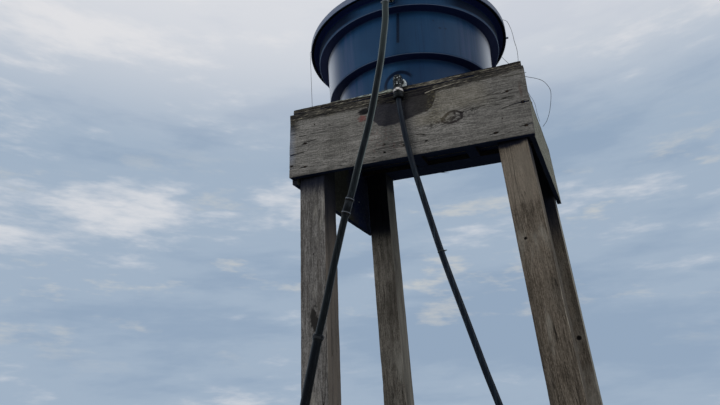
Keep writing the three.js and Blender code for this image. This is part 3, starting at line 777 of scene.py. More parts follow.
sleeve = sleeve_piece()
lower_hose = lower_hose_piece()
tie = tie_band(TIE_DOWN)
outlet_coupling = coupling_piece("outlet_coupling_screw", OUTLET_ROUTE[-1], OUTLET_HOSE, "outlet_coupling")
inlet_coupling = coupling_piece("inlet_coupling_screw", INLET_ROUTE[-1], LOWER_HOSE, "inlet_coupling")

tuple(OUT_END)
tuple(IN_END)

# ---------------------------------------------------------------- wires
WIRE_TAIL = metres([
    (535.6, -453, 3033), (553, -434, 3036), (578, -394, 3050), (614, -319, 3075), (639, -239, 3095),
    (657, -159, 3103), (658, -69, 3103), (644, 41, 3082), (624, 111, 3066), (602, 151, 3058)])
tail_route, tail_length = smooth_route(WIRE_TAIL, 90)
wire_tail = cord_curve("wire_tail_strand", tail_route, WIRE, TIE, sides=3)
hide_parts("wire_tail")

PLANK_WIRE = metres([(540.5, -300, 3034), (547, -300, 3012), (557, -300, 2985), (563, -300, 2958),
                     (566, -300, 2896), (571, -300, 2855)])
end_route, end_length = smooth_route(PLANK_WIRE, 40)
plank_wire = cord_curve("plank_wire_end", end_route, THIN_WIRE, TIE, sides=3)

# a taut stay from the lid's right edge to the deck's front right corner
stay_top, stay_foot = Vector((0.4356, 0.2598, 3.664)), Vector((0.4785, -0.4206, 3.1302))
stay_route = [stay_top.lerp(stay_foot, i / 12) for i in range(13)]
lid_stay = cord_curve("lid_stay_strand", stay_route, WIRE, TIE, sides=3)

# ---------------------------------------------------------------- timber shapes
def stops(length, step, ends, extra):
    """Places along an edge, close together near its ends and round each extra place."""
    count = max(1, round((length - 2 * ends[-1]) / step))
    middle = [ends[-1] + (length - 2 * ends[-1]) * i / count for i in range(count + 1)]
    places = [*ends[:-1], *middle, *(length - e for e in ends[:-1])]
    fixed = [e + d for e in extra for d in (-0.003, 0, 0.003)]
    places = [p for p in places if all(abs(p - f) > 0.0016 for f in fixed)] + fixed
    return sorted(places)


def gridded(size, step, extra):
    """A box with a corner at the origin, cut into a grid that is fine near its edges."""
    bm = bmesh.new()
    bmesh.ops.create_cube(bm, size=1)
    shifted(bm, (0.5, 0.5, 0.5))
    lines = []
    for axis in range(3):
        fine = (0, 0.002, 0.005, 0.010, 0.016) if size[axis] > 0.05 else (0, 0.002, 0.005, 0.010)
        lines.append(stops(size[axis], step[axis], fine, extra if axis == 1 else ()))
        run = [e for e in bm.edges if abs((e.verts[0].co - e.verts[1].co)[axis]) > 0.9]
        bmesh.ops.subdivide_edges(bm, edges=run, cuts=len(lines[axis]) - 2, use_grid_fill=True)
    for v in bm.verts:
        v.co = [lines[i][round(v.co[i] * (len(lines[i]) - 1))] for i in range(3)]
    return bm


def weather(bm, size, radius, seed, depth, splits, bites):
    """Wears a sawn box: uneven rounded edges, hollows along the grain, splits at its ends and
    bites out of its edges. A split is (end, place across, length, depth); a bite is
    (place along, half length, side across, side through, size)."""
    shift = Vector((seed * 7.31, seed * 3.17, seed * 5.73))
    most = min(size) * 0.46
    for v in bm.verts:
        a, b, c = v.co
        coarse = noise.noise(Vector((a * 5, b * 4, c * 4)) + shift)
        fine = noise.noise(Vector((a * 34, b * 20, c * 20)) + shift)
        r = radius * (1.0 + 1.1 * coarse + 0.7 * fine)
        for place, half, side_b, side_c, big in bites:
            near = 1 - ((a - place) / half) ** 2
            if near > 0 and (b < size[1] / 2) == (side_b < 0) and (c < size[2] / 2) == (side_c < 0):
                r += big * math.sqrt(near) * (0.8 + 0.5 * fine)
        r = min(max(r, 0.0012), most)
        inner = Vector([min(max(v.co[i], r), size[i] - r) for i in range(3)])
        off = v.co - inner
        if off.length < 1e-9:
            continue
        way = off.normalized()
        place = inner + way * min(off.length, r)
        along = noise.noise(Vector((a * 1.4, b * 16, c * 16)) + shift * 2)
        ridge = noise.noise(Vector((a * 6, b * 95, c * 95)) + shift * 3)
        hollow = depth * (0.5 + 0.5 * along) + 0.0005 * (0.5 + 0.5 * ridge)
        for end, across, reach, deep in splits:
            share = 1 - (a if end < 0 else size[0] - a) / reach
            if share > 0 and abs(b - across) < 0.0015:
                hollow += deep * share
        v.co = place - way * hollow


def board(name, node, size, step, place, material, seed, radius=0.003, depth=0.0015, splits=(),
          bites=()):
    """A worn board or post; place puts (along, across, through) where it stands."""
    bm = gridded(size, step, [s[1] for s in splits])
    weather(bm, size, radius, seed, depth, splits, bites)
    for v in bm.verts:
        v.co = place(*v.co)
    bmesh.ops.recalc_face_normals(bm, faces=bm.faces)
    return finish_piece(name, bm, material, sharp=55, node=node)


def across_box(x0, y0, z0):
    """Boards that run along X, with their width up Z."""
    return lambda a, b, c: (x0 + a + SLANT * (y0 + c - FRONT), y0 + c, z0 + b)


def back_box(x0, y0, z0, lean=0.0):
    """Boards that run back along the slant, with their width up Z; lean: how far in for each metre up."""
    return lambda a, b, c: (x0 + c + SLANT * (y0 + a - FRONT) - lean * b, y0 + a, z0 + b)


def flat_box(x0, y0, z0):
    """Boards that lie flat along X, with their width along Y."""
    return lambda a, b, c: (x0 + a + SLANT * (y0 + b - FRONT), y0 + b, z0 + c)


def square_box(x0, y0, z0):
    """Boards that lie flat along X, with their ends cut square."""
    return lambda a, b, c: (x0 + a + SLANT * (y0 - FRONT), y0 + b, z0 + c)


def flat_back_box(x0, y0, z0):
    """Boards that lie flat along the slant, with their width along X."""
    return lambda a, b, c: (x0 + b + SLANT * (y0 + a - FRONT), y0 + a, z0 + c)


# ---------------------------------------------------------------- finishes of timber
def streak_line(x, z, start, end, wide):
    """A thin mark from one point to another, on a face."""
    slope = (end[1] - start[1]) / (end[0] - start[0])
    level = z - (x - start[0]) * slope - start[1]
    return abs(level).smooth(wide, wide * 0.3) * x.between(start[0], end[0], 0.006)


def round_mark(x, z, place, size, flat=1.0):
    off_x, off_z = (x - place[0]) * flat, z - place[1]
    return (off_x * off_x + off_z * off_z).smooth((size * 1.35) ** 2, (size * 0.7) ** 2)


def knot_mark(spot, run, p, place, size, tilt):
    """A knot: its dark eye with rings, broken by the weather, and how close each point is to it."""
    warp = spot.cloud(run * 16, p * 16, 0.0, 4, 0.7) - 0.5
    off_run, off_p = run - place[0] + warp * size * 1.1, p - place[1] - warp * size * 0.9
    kx = (off_run + off_p * tilt) / (size * 1.5)
    kp = (off_p - off_run * tilt * 0.5) / (size * 0.9)
    reach = (kx * kx + kp * kp).root()
    broken = spot.cloud(run * 46, p * 70, 0.0, 3, 0.7)
    rings = (reach * 11 + warp * 12).wave() * reach.smooth(1.15, 0.80) * broken.smooth(0.38, 0.56)
    rim = reach.between(0.78, 1.06, 0.10) * broken.smooth(0.32, 0.44)
    heart = reach.smooth(0.42, 0.12) * broken.smooth(0.30, 0.44)
    tail = (kx * kx * 0.12 + kp * kp * 1.1).smooth(1.3, 0.2) * broken.smooth(0.48, 0.62)
    dark = joined((rings * 0.8, rim * 0.85, heart * 0.8, tail * 0.75))
    return dark, reach.smooth(2.8, 0.6)


def timber_finish(name, along, heart, seed, pale, dark, lean=(0, 0), knots=(), marks=None, moss=0.0,
                  under=0.0, rings=1.0):
    """Weathered timber. along: the axis of its grain; heart: the tree's middle across it; lean: how
    far it drifts for each metre; knots: (along, across, size, tilt); moss: how much green there is
    on top; under: how much painted shade lies on faces that look down; marks: a function for what
    only this board has."""
    made, shader, spot = start_finish(name)
    x, y, z = spot.parts()
    run, p, q = {"x": (x, z, y), "y": (y, x - y * SLANT, z),
                 "z": (z, x - z * lean[0], y - z * lean[1])}[along]
    knot = None
    swirl = 0.0
    for knot_run, knot_p, size, tilt in knots:
        mark, near = knot_mark(spot, run, p, (knot_run, knot_p), size, tilt)
        side = p - knot_p
        swirl = swirl + near * side.math("SIGN", side) * (size * 0.5)
        knot = mark if knot is None else knot.high(mark)
    run = run + seed * 3.7
    drift = spot.cloud(run * 0.9, p * 2.0, q * 2.0, 2, 0.5) - 0.5
    sway = spot.cloud(run * 4.5, p * 7, q * 7, 2, 0.5) - 0.5
    off_p = p - heart[0] + drift * 0.055 + sway * 0.008 + swirl
    off_q = q - heart[1] + drift * 0.03
    ring = (off_p * off_p + off_q * off_q).root()
    lines = spot.cloud(ring * 190, run * 1.6, seed, 4, 0.65)
    thin = spot.cloud(ring * 470, run * 6, seed, 3, 0.65)
    rough = spot.cloud(run * 13, off_p * 300, off_q * 300, 4, 0.72)
    fibre = spot.cloud(run * 22, off_p * 700, off_q * 700, 3, 0.65)
    streak = spot.cloud(run * 1.5, p * 24, q * 24, 3, 0.55)
    patches = spot.grain(3.1, 4, 0.62)
    spots = spot.grain(60, 4, 0.7)
    crack = abs(spot.cloud(run * 1.9, off_p * 34, off_q * 34, 2, 0.5) - 0.5).smooth(0.009, 0.002)
    crack = crack * spot.cloud(run * 3, p * 9, q * 9, 2, 0.5).smooth(0.50, 0.60)
    saw_marks = spot.cloud(run * 120, p * 12, q * 12, 3, 0.6)
    grit = spot.cloud(run * 90, off_p * 210, off_q * 210, 3, 0.75)
    colour = rough.smooth(0.37, 0.62).blend(tone(dark, 0.95), tone(pale, 1.03))
    height = lines * 0.45 * rings + thin * 0.4 + rough * 0.7 + fibre * 0.4 - crack * 1.6 + spots * 0.12
    colour = coats(colour, (
        (lines.smooth(0.52, 0.68) * 0.55 * rings, dark, 0.72),
        (lines.smooth(0.44, 0.34) * 0.30 * rings, pale, 1.2),
        (thin.smooth(0.53, 0.70) * 0.7, dark, 0.5),
        (streak.smooth(0.5, 0.75) * 0.5, dark, 0.85),
        (streak.smooth(0.45, 0.25) * 0.4, pale, 1.2),
        (patches.smooth(0.50, 0.72) * 0.5, "56544f"),
        (patches.smooth(0.42, 0.28) * 0.4, pale, 1.1),
        (fibre.smooth(0.52, 0.76) * 0.6, dark, 0.5),
        (saw_marks.smooth(0.52, 0.72) * 0.22, dark, 0.6),
        (grit.smooth(0.50, 0.66) * 0.6, dark, 0.55),
        (grit.smooth(0.48, 0.32) * 0.5, pale, 1.3),
        (spots.smooth(0.60, 0.72) * 0.45, "2c2a27"),
        (crack * 0.9, "15120f")))
    if knot is not None:
        colour = (knot * 1.35).low(0.96).blend(colour, tone("231f20"))
        height = height - knot * 0.5
    if moss:
        green = spot.normal()[2].smooth(0.25, 0.85) * (spots * 0.6 + patches * 0.6).smooth(0.5, 0.68) * moss
        colour = green.blend(colour, tone("3a3d2c"))
    if marks is not None:
        colour, height = marks(spot, x, y, z, colour, height, rough)
    # painted shade on faces that look down
    if under:
        shade_below = spot.normal()[2].smooth(-0.3, -0.8) * under
        colour = shade_below.blend(colour, tone("0b1c3c"))
    end_finish(shader, colour, 0.82 + fibre * 0.16, height, depth=0.003, strength=1.0,
               Specular_IOR_Level=0.22)
    return made


def layered(spot, x, z, colour, share):
    """The rotten upper edge: black layers with greenish and pale ones between them."""
    slanted = z + x * 0.012
    bands = spot.cloud(x * 5.0, 0.0, slanted * 105, 4, 0.70)
    frayed = spot.cloud(x * 30, 3.0, (z - x * 0.10) * 190, 3, 0.70)
    mixed = bands * 0.6 + frayed * 0.4
    layer = mixed.smooth(0.45, 0.56).blend(tone("0f0e10"), tone("4a4641"))
    layer = ((bands * 0.45 + frayed * 0.55).smooth(0.54, 0.62) * 0.85).blend(layer, tone("96917f"))
    return share.blend(colour, layer), mixed


def front_marks(spot, x, y, z, colour, height, rough):
    """The wide front plank: wet stain under the outlet, black upper edge, nail holes and smudges."""
    ragged = spot.cloud(x * 9, 0.0, z * 34, 5, 0.68) - 0.5
    cloudy = spot.cloud(x * 10, 4.0, z * 14, 3, 0.55) - 0.5
    tan = x.between(0.08, 0.34, 0.05) * (z + cloudy * 0.06).between(2.93, 3.05, 0.03)
    tan = tan.high(x.between(-0.02, 0.16, 0.04) * (z + cloudy * 0.05).between(2.88, 2.94, 0.02))
    torn = spot.cloud(x * 42, 1.0, z * 190, 3, 0.7) - 0.5
    edge_x, edge_z = x + cloudy * 0.024 + ragged * 0.016 + torn * 0.012, z + ragged * 0.030 + torn * 0.012
    places = ((-0.290, 3.064), (-0.262, 3.035), (-0.243, 2.965), (-0.216, 2.923), (-0.179, 2.912),
              (-0.126, 2.913), (-0.075, 2.924), (-0.045, 2.935), (0.000, 2.943), (0.046, 2.950),
              (0.072, 2.972), (0.10, 3.040))
    span = (edge_x + 0.290) / 0.390
    stops = [((px + 0.290) / 0.390, (*((pz - 2.9) / 0.25,) * 3, 1)) for px, pz in places]
    low = span.node("ValToRGB", {"stops": stops}, {"Fac": span}) * 0.25 + 2.9
    stain = edge_x.between(-0.282, 0.092, 0.007) * (edge_z - low).smooth(-0.004, 0.006)
    wet = x.smooth(-0.10, 0.02).blend(tone("191a25"), tone("141215"))
    colour = (tan * 0.18).blend(colour, tone("857b62"))
    colour = (stain * (0.74 + rough * 0.24)).blend(colour, wet)
    olive = (x + cloudy * 0.06 + torn * 0.05).between(0.044, 0.112, 0.026)
    olive = olive * (z + torn * 0.05).between(2.875, 3.08, 0.03)
    mottled = rough * 0.6 + torn * 1.2 + ragged * 0.4 + 0.2
    top = z - x.smooth(0.10, 0.52) * 0.026 + ragged * 0.06 + cloudy * 0.03 + torn * 0.03
    corner = (x + z * 0.6 + ragged * 0.05).smooth(1.165, 1.125) * z.smooth(2.97, 3.03)
    top = top.smooth(3.040, 3.058).high(corner * 0.8)
    colour = coats(colour, (
        (olive * mottled.smooth(0.46, 0.62) * 0.75, "2a261b"),
        (olive * mottled.smooth(0.44, 0.30) * 0.45, "8a8263")))
    colour, bands = layered(spot, x, z, colour, top * 0.94)
    soaked = (x + ragged * 0.08).between(-0.200, 0.085, 0.03) * top
    soaked = soaked * (rough * 0.6 + torn * 1.3 + 0.2).smooth(0.16, 0.36)
    height = height + top * bands * 1.3
    low_edge = (z + ragged * 0.04).smooth(2.752, 2.722)
    saw = ((x * 540 + z * 40).wave() * spot.grain(4.4, 2, 0.5).smooth(0.5, 0.62)).smooth(0.2, 0.9)
    pink = x.between(-0.26, -0.06, 0.03) * z.between(2.76, 2.90, 0.025)
    pink = pink * spot.grain(70, 3, 0.6).smooth(0.5, 0.7)
    red = round_mark(x + torn * 0.05, z + ragged * 0.05, (-0.298, 2.984), 0.017, 0.8)
    rot = (x + torn * 0.04).smooth(-0.645, -0.700) * (z + ragged * 0.06).between(2.985, 3.060, 0.015)
    cold = (x + cloudy * 0.05).smooth(-0.672, -0.712) * z.between(2.80, 3.00, 0.05)
    rusty = (x + ragged * 0.01).between(0.497, 0.509, 0.005) * z.between(2.93, 3.00, 0.03) * 0.4
    # dull patches, and painted shade over the plank's right part
    dull_and_shade = (0.5 + cloudy * 1.6).smooth(0.35, 0.9).high(x.smooth(0.15, 0.35) * 0.9)
    black = round_mark(x + ragged * 0.10 + torn * 0.05, z + torn * 0.03 + ragged * 0.02, (-0.286, 3.025),
                       0.017, 0.5)
    holed_x, holed_z = x + torn * 0.010, z + ragged * 0.012
    holes = joined(round_mark(holed_x, holed_z, place, size, 0.6) for place, size in FRONT_HOLES)
    bent = z + (spot.cloud(x * 14, 0.0, 2.0, 2, 0.5) - 0.5) * 0.016
    splits = joined(streak_line(x, bent, start, end, wide) for start, end, wide in (
        ((-0.716, 2.848), (-0.632, 2.857), 0.0028), ((0.405, 2.884), (0.505, 2.897), 0.0026),
        ((-0.66, 2.763), (-0.61, 2.772), 0.0028), ((0.415, 2.966), (0.470, 2.974), 0.0026),
        ((0.33, 2.755), (0.375, 2.761), 0.0028), ((-0.716, 2.783), (-0.695, 2.787), 0.0028),
        ((0.20, 2.905), (0.33, 2.921), 0.0018), ((-0.645, 2.903), (-0.60, 2.909), 0.0026),
        ((0.475, 2.768), (0.515, 2.772), 0.0026)))
    dark = holes.high(splits * 0.85)
    colour = coats(colour, (
        (soaked * 0.85, "100f16"),
        (low_edge * 0.4, "2f2d2a"),
        (saw * 0.12, "2e2a26"),
        (pink * 0.4, "6e4f4c"),
        (red * (torn * 1.4 + rough * 0.6 + 0.2).smooth(0.30, 0.62) * 0.75, "6b2f2c"),
        (rot * (rough * 0.5 + torn + 0.4).smooth(0.45, 0.75) * 0.85, "22201a"),
        (cold * 0.4, "6c778c"),
        (rusty, "4a2f26"),
        (dull_and_shade * 0.25, "3f3d3a"),
        (black * 0.94, "07070d")))
    return dark.blend(colour, tone("100d0c")), height - dark * 1.8 - stain * 0.1


def side_marks(side):
    """Side planks: painted shade towards the posts and on their front ends, green along the top outside."""
    def marks(spot, x, y, z, colour, height, rough):
        look = spot.normal()
        ragged = spot.cloud(x * 8, y * 8, z * 30, 4, 0.65) - 0.5
        top = (z + ragged * 0.05).smooth(PLANK_HIGH - 0.07, PLANK_HIGH - 0.02)
        lichen = spot.grain(52, 5, 0.78).smooth(0.50, 0.62) * spot.grain(7, 3, 0.6).smooth(0.34, 0.52)
        # painted shade on the face towards the posts, olive-grey at the front and navy further back
        inner = (look[0] * (0 - side)).smooth(0.3, 0.8)
        blotched = spot.cloud(x * 4, y * 4, z * 5, 3, 0.6)
        shaded = (y + blotched * 0.5).smooth(0.42, 0.62).blend(tone("4d4c45"), tone("132c66"))
        colour = coats(colour, (
            (top * 0.6, "2b2b22"),
            (lichen * 0.85, "b4b7a6")))
        colour = (inner * (0.75 + rough * 0.2)).blend(colour, shaded)
        if side < 0:
            # painted light: a white dot for sky seen through a small hole
            painted_sky_dot = round_mark(y, z, (0.347, 2.858), 0.0042)
            colour = (inner * painted_sky_dot).blend(colour, tone("f4f4ee"))
        # painted shade on the plank's front end
        end = (0 - look[1]).smooth(0.5, 0.9) * y.smooth(-0.40, -0.42)
        colour = (end * 0.92).blend(colour, tone("10131d"))
        return colour, height + lichen * 0.5
    return marks


def post_marks(holes, side_tone, side_share, front_dark, side_dark, stretch=None):
    """Nail holes in a post, painted shade on its head, and the damp at its foot. side_tone: the tone of
    the painted light on its right side; front_dark and side_dark: between which heights the painted
    shade sets in on its front and on its right side; stretch: a bleached or dark patch's (middle,
    size, height, tone, share)."""
    def marks(spot, x, y, z, colour, height, rough):
        look = spot.normal()
        ragged = spot.grain(9, 4, 0.65) - 0.5
        wear_and_highlight = spot.cloud(x * 9, y * 9, z * 2.6, 4, 0.6)
        stripes = spot.cloud(x * 26, y * 24, z * 1.6, 3, 0.6)
        colour = coats(colour, (
            (wear_and_highlight.smooth(0.52, 0.70) * 0.55, "38342f"),
            (wear_and_highlight.smooth(0.46, 0.30) * 0.45, "928e86"),
            (stripes.smooth(0.52, 0.66) * 0.4, "37322d")))
        if stretch is not None:
            place, size, high, code, share = stretch
            patch = round_mark(x + ragged * 0.10, z + ragged * 0.35, place, size, high)
            colour = (patch * (0.45 + wear_and_highlight * 1.1) * share).blend(colour, tone(code))
        # painted light on the right side, in its side tone
        lit_side = look[0].smooth(0.75, 0.95) * (side_share - (stripes - 0.5) * 2.4)
        arris = look[0].between(0.35, 0.92, 0.06) * (0 - look[1]).between(0.35, 0.92, 0.06)
        uneven = z + ragged * 0.05
        # painted shade on the head: front and right faces from the given heights up, back and left faces
        # above about 2.5 m
        front = (0 - look[1]).smooth(0.4, 0.8) * uneven.smooth(*front_dark)
        side = look[0].smooth(0.4, 0.8) * uneven.smooth(*side_dark)
        hidden = look[1].smooth(0.3, 0.8).high((0 - look[0]).smooth(0.4, 0.8)) * uneven.smooth(2.50, 2.70)
        foot = (z + ragged * 0.25).smooth(0.34, 0.04)
        colour = coats(colour, (
            (lit_side, side_tone),
            (arris * rough.smooth(0.35, 0.6) * 0.8, "a19a8e"),
            (front.high(side) * 0.93, "0f1422"),
            (hidden * 0.8, "17171a"),
            (foot * 0.6, "2c2a22")))
        for px, pz, size in holes:
            hole = round_mark(x, z, (px, pz), size)
            colour = hole.blend(colour, tone("100d0c"))
            height = height - hole * 1.5
        return colour, height
    return marks


def deck_marks(spot, x, y, z, colour, height, rough):
    """The front deck board's broken edge."""
    edge = y.smooth(FRONT + 0.05, FRONT + 0.004)
    colour, bands = layered(spot, x, z, colour, edge * 0.95)
    frayed = spot.cloud(x * 38, 0.0, z * 160, 3, 0.65)
    lit = x.between(-0.47, -0.13, 0.02) * (z + x * 0.05).smooth(3.100, 3.106) * frayed.smooth(0.44, 0.54)
    colour = (lit * edge * 0.85).blend(colour, tone("a4ada3"))
    return colour, height + edge * bands * 1.3


# ---------------------------------------------------------------- the stand
EDGE_BITES = ((0.05, 0.05, -1, -1, 0.004), (0.18, 0.04, -1, 1, 0.005), (0.34, 0.05, -1, 1, 0.006),
              (0.47, 0.05, -1, 1, 0.005), (0.62, 0.09, -1, -1, 0.008), (0.71, 0.03, -1, 1, 0.007),
              (0.80, 0.06, -1, 1, 0.008), (0.97, 0.05, -1, -1, 0.006), (1.02, 0.04, -1, 1, 0.006),
              (1.10, 0.07, -1, 1, 0.005))

front_wood = timber_finish("front_plank_wood", "x", (2.80, -0.53), 1, "827f7b", "4e4c4a",
                           knots=((0.164, 2.889, 0.038, 0.35),), marks=front_marks, under=0.95, rings=0.8)
board("front_plank_board", "front_plank", (RIGHT - LEFT, PLANK_WIDE, 0.030), (0.011, 0.009, 0.008),
      across_box(LEFT, FRONT, PLANK_LOW), front_wood, 1.3, radius=0.0024, depth=0.0012,
      splits=((-1, 0.129, 0.09, 0.005), (-1, 0.050, 0.05, 0.004), (1, 0.176, 0.12, 0.006),
              (1, 0.055, 0.05, 0.004)),
      bites=((0.03, 0.06, 1, -1, 0.005), (0.45, 0.12, 1, -1, 0.004), (0.70, 0.03, 1, -1, 0.006),
             (0.83, 0.07, 1, -1, 0.005), (0.20, 0.05, 1, -1, 0.004), (1.05, 0.06, 1, -1, 0.005)))

SIDE_LONG = 0.9888
left_wood = timber_finish("left_plank_wood", "y", (-0.80, 2.95), 2, "716c66", "45413d",
                          knots=((0.11, -0.66, 0.02, 0.0),), marks=side_marks(-1), under=0.95)
board("left_plank_board", "left_plank", (SIDE_LONG, 0.409, 0.030), (0.012, 0.010, 0.008),
      back_box(LEFT, PLANK_REAR, 2.690), left_wood, 2.7, radius=0.0022, depth=0.0018,
      splits=((1, 0.21, 0.10, 0.006),), bites=((0.30, 0.10, -1, 1, 0.005), (0.62, 0.08, -1, 1, 0.006)))

RIGHT_LEAN = 0.016 / PLANK_WIDE
BEARER, JOIST = (1.1764, 0.150, 0.034), (0.6888, 0.070, 0.034)
right_wood = timber_finish("right_plank_wood", "y", (0.62, 2.86), 3, "98978b", "66645c", marks=side_marks(1),
                           under=0.95)
board("right_plank_board", "right_plank", (SIDE_LONG, PLANK_WIDE, 0.026), (0.012, 0.010, 0.007),
      back_box(RIGHT - 0.029, PLANK_REAR, PLANK_LOW, RIGHT_LEAN), right_wood, 3.9,
      radius=0.0030, depth=0.002, splits=((1, 0.16, 0.12, 0.006), (-1, 0.30, 0.06, 0.004)),
      bites=((0.20, 0.08, 1, 1, 0.006), (0.52, 0.12, 1, 1, 0.007), (0.80, 0.07, 1, 1, 0.006),
             (0.42, 0.07, -1, 1, 0.005)))

# the bearers and joists under the deck get dark tones as painted shade
for name, size, place, seed, along in (
        ("front_bearer", BEARER, flat_box(LEFT + 0.0303, PLANK_REAR, POST_TOP), 4, "x"),
        ("back_bearer", BEARER, flat_box(LEFT + 0.0303, 0.4134, POST_TOP), 5, "x"),
        ("joist_left", JOIST, flat_back_box(-0.297, -0.2754, POST_TOP), 6, "y"),
        ("joist_right", JOIST, flat_back_box(0.043, -0.2754, POST_TOP), 7, "y")):
    wood = timber_finish(name + "_wood", along, (3.0, 0.2) if along == "x" else (0.1, 3.3), seed, "3a352f",
                         "241f1c", under=0.95)
    board(name + "_beam", name, size, (0.02, 0.012, 0.010), place, wood, seed * 1.3)

# the deck boards from the front: width, and how far the left and right ends stand in, in millimetres
DECK_BOARDS = ((0.208, 20, 6), (0.196, 22, 22), (0.205, 26, 20), (0.199, 18, 26), (0.186, 24, 23))
DECK_GAP = 0.0062
board_edge = FRONT
for i, (wide, left, right) in enumerate(DECK_BOARDS):
    wood = timber_finish(f"deck_wood_{i + 1}", "x", (3.35, board_edge + wide * 0.5 + 0.03), 11 + i, "6f695f",
                         "423e38", knots=((-0.3 + 0.23 * i, 3.12, 0.02, 0.0),), moss=0.9, under=0.97,
                         marks=deck_marks if i == 0 else None)
    board(f"deck_board_{i + 1}_plank", f"deck_board_{i + 1}",
          (RIGHT - LEFT - (left + right) / 1000, wide, 0.030), (0.013, 0.011, 0.008),
          square_box(LEFT + left / 1000, board_edge, PLANK_HIGH), wood, 9.1 + i * 2.3,
          radius=0.0045 if i == 0 else 0.0035, depth=0.0025, bites=EDGE_BITES if i == 0 else (),
          splits=((-1, wide * 0.4, 0.08, 0.006), (1, wide * 0.62, 0.11, 0.006)))
    board_edge += wide + DECK_GAP

# each post: its middle at the planks and on the floor, section, tones, nail holes, then what
# post_marks takes after them
POSTS = {
    "post_front_left": ((-0.598, -0.351), (-0.590, -0.337), (0.147, 0.128), "757270", "403d3b",
                        ((-0.60, 2.30, 0.003),), "7a7067", 0.6, (2.590, 2.690), (2.20, 2.62),
                        ((-0.593, 1.96), 0.055, 1.6, "262423", 1.2)),
    "post_front_right": ((0.435, -0.3476), (0.565, -0.347), (0.142, 0.139), "6b6258", "423b33",
                         ((0.420, 2.237, 0.006),), "6a6258", 0.4, (2.694, 2.712), (2.45, 2.70),
                         ((0.450, 2.56), 0.16, 1.5, "8a8074", 0.3)),
    "post_back_left": ((-0.474, 0.483), (-0.400, 0.491), (0.141, 0.138), "7d776f", "47423c",
                       (), "8a857c", 0.6, (2.58, 2.68), (2.90, 2.99)),
    "post_back_right": ((0.541, 0.483), (0.658, 0.481), (0.142, 0.138), "625a51", "38322b",
                        ((0.602, 1.89, 0.012),), "9b978d", 0.75, (2.35, 2.66), (2.60, 2.72)),
}
TURN = -math.atan(SLANT)


def post_place(high, low, size):
    """A post's length runs up Z, and its middle leans from low on the floor to high at the planks."""
    def place(a, b, c):
        share = a / PLANK_LOW
        middle = [low[i] + (high[i] - low[i]) * share for i in range(2)]
        dx, dy = b - size[0] / 2, c - size[1] / 2
        return (middle[0] + dx * math.cos(TURN) - dy * math.sin(TURN),
                middle[1] + dx * math.sin(TURN) + dy * math.cos(TURN), a)
    return place


for i, (name, (high, low, size, pale, dark, holes, *shade)) in enumerate(POSTS.items()):
    lean = tuple((high[k] - low[k]) / PLANK_LOW for k in range(2))
    wood = timber_finish(name + "_wood", "z", (low[0] + 0.02, low[1] + 0.035), 21 + i, pale, dark, lean=lean,
                         knots=((0.80 + 0.15 * i, low[0] - 0.02, 0.018, 0.1),
                                (0.36 + 0.11 * i, low[0] + 0.03, 0.012, 0.2)),
                         marks=post_marks(holes, *shade), rings=0.9)
    board(name + "_beam", name, (POST_TOP, *size), (0.020, 0.012, 0.012), post_place(high, low, size), wood,
          31.7 + i * 4.1, radius=0.0036, depth=0.0022,
          splits=((-1, size[0] * 0.42, 0.5, 0.007), (1, size[0] * 0.6, 0.4, 0.006)),
          bites=((1.35 + 0.2 * i, 0.12, -1, -1, 0.006), (2.10 - 0.2 * i, 0.09, 1, -1, 0.005),
                 (0.5, 0.15, 1, 1, 0.008)))


def sliver(long, thick, bend):
    """A thin tapering strip of wood along Z, a little crooked."""
    bm = bmesh.new()
    bmesh.ops.create_cone(bm, cap_ends=True, cap_tris=False, segments=5, radius1=thick, radius2=thick * 0.2,
                          depth=long)
    bmesh.ops.subdivide_edges(bm, edges=[e for e in bm.edges if e.calc_length() > long * 0.7], cuts=7)
    for v in bm.verts:
        v.co.x += bend * math.sin(v.co.z / long * 5.3 + thick * 900)
        v.co.y += bend * 0.5 * math.sin(v.co.z / long * 8.1)
    bmesh.ops.scale(bm, vec=(0.6, 1, 1), verts=bm.verts)
    return bm


def splinters():
    """Slivers that stand off the broken front edge of the deck, and the fresh pale one."""
    rng = random.Random(7)
    weathered = [(rng.uniform(LEFT + 0.05, RIGHT - 0.04), rng.uniform(3.048, 3.122), rng.uniform(0.05, 0.17),
                  rng.uniform(0.0014, 0.0030), rng.uniform(-0.05, 0.05)) for _ in range(36)]
    fresh = [(0.066, 3.063, 0.052, 0.0040, -0.22), (0.118, 3.071, 0.078, 0.0036, -0.10),
             (0.168, 3.0765, 0.05, 0.0024, -0.06), (-0.192, 3.103, 0.060, 0.0022, -0.03),
             (0.020, 3.118, 0.040, 0.0024, -0.12), (-0.02, 3.109, 0.05, 0.0020, 0.05)]
    for name, spots, material in (("deck_edge_slivers", weathered, SLIVER), ("deck_edge_chips", fresh, CHIP)):
        bm = bmesh.new()
        for x, z, long, thick, tilt in spots:
            strip = sliver(long, thick, 0.0014)
            side = 1 if material is CHIP or rng.random() < 0.5 else -1
            join_in(bm, shifted(turned(strip, math.pi / 2 * side + tilt, "Y"), (x, FRONT + 0.0006, z)))
        bmesh.ops.recalc_face_normals(bm, faces=bm.faces)
        finish_piece(name, bm, material, sharp=50)
    torn = shifted(turned(sliver(0.085, 0.0055, 0.002), math.pi / 2 + 0.22, "Y"), (-0.062, 0.556, 3.062))
    bmesh.ops.recalc_face_normals(torn, faces=torn.faces)
    finish_piece("back_bearer_splinter", torn, SLIVER, sharp=50)


def sliver_finish(name, pale, dark):
    made, shader, spot = start_finish(name)
    x, y, z = spot.parts()
    lines = spot.cloud(x * 8, y * 300, z * 300, 3, 0.6)
    clouds = spot.grain(12, 3, 0.6)
    colour = (lines * 0.6 + clouds * 0.5).smooth(0.35, 0.75).blend(tone(dark), tone(pale))
    end_finish(shader, colour, 0.9, lines, depth=0.0006, strength=0.6)
    return made


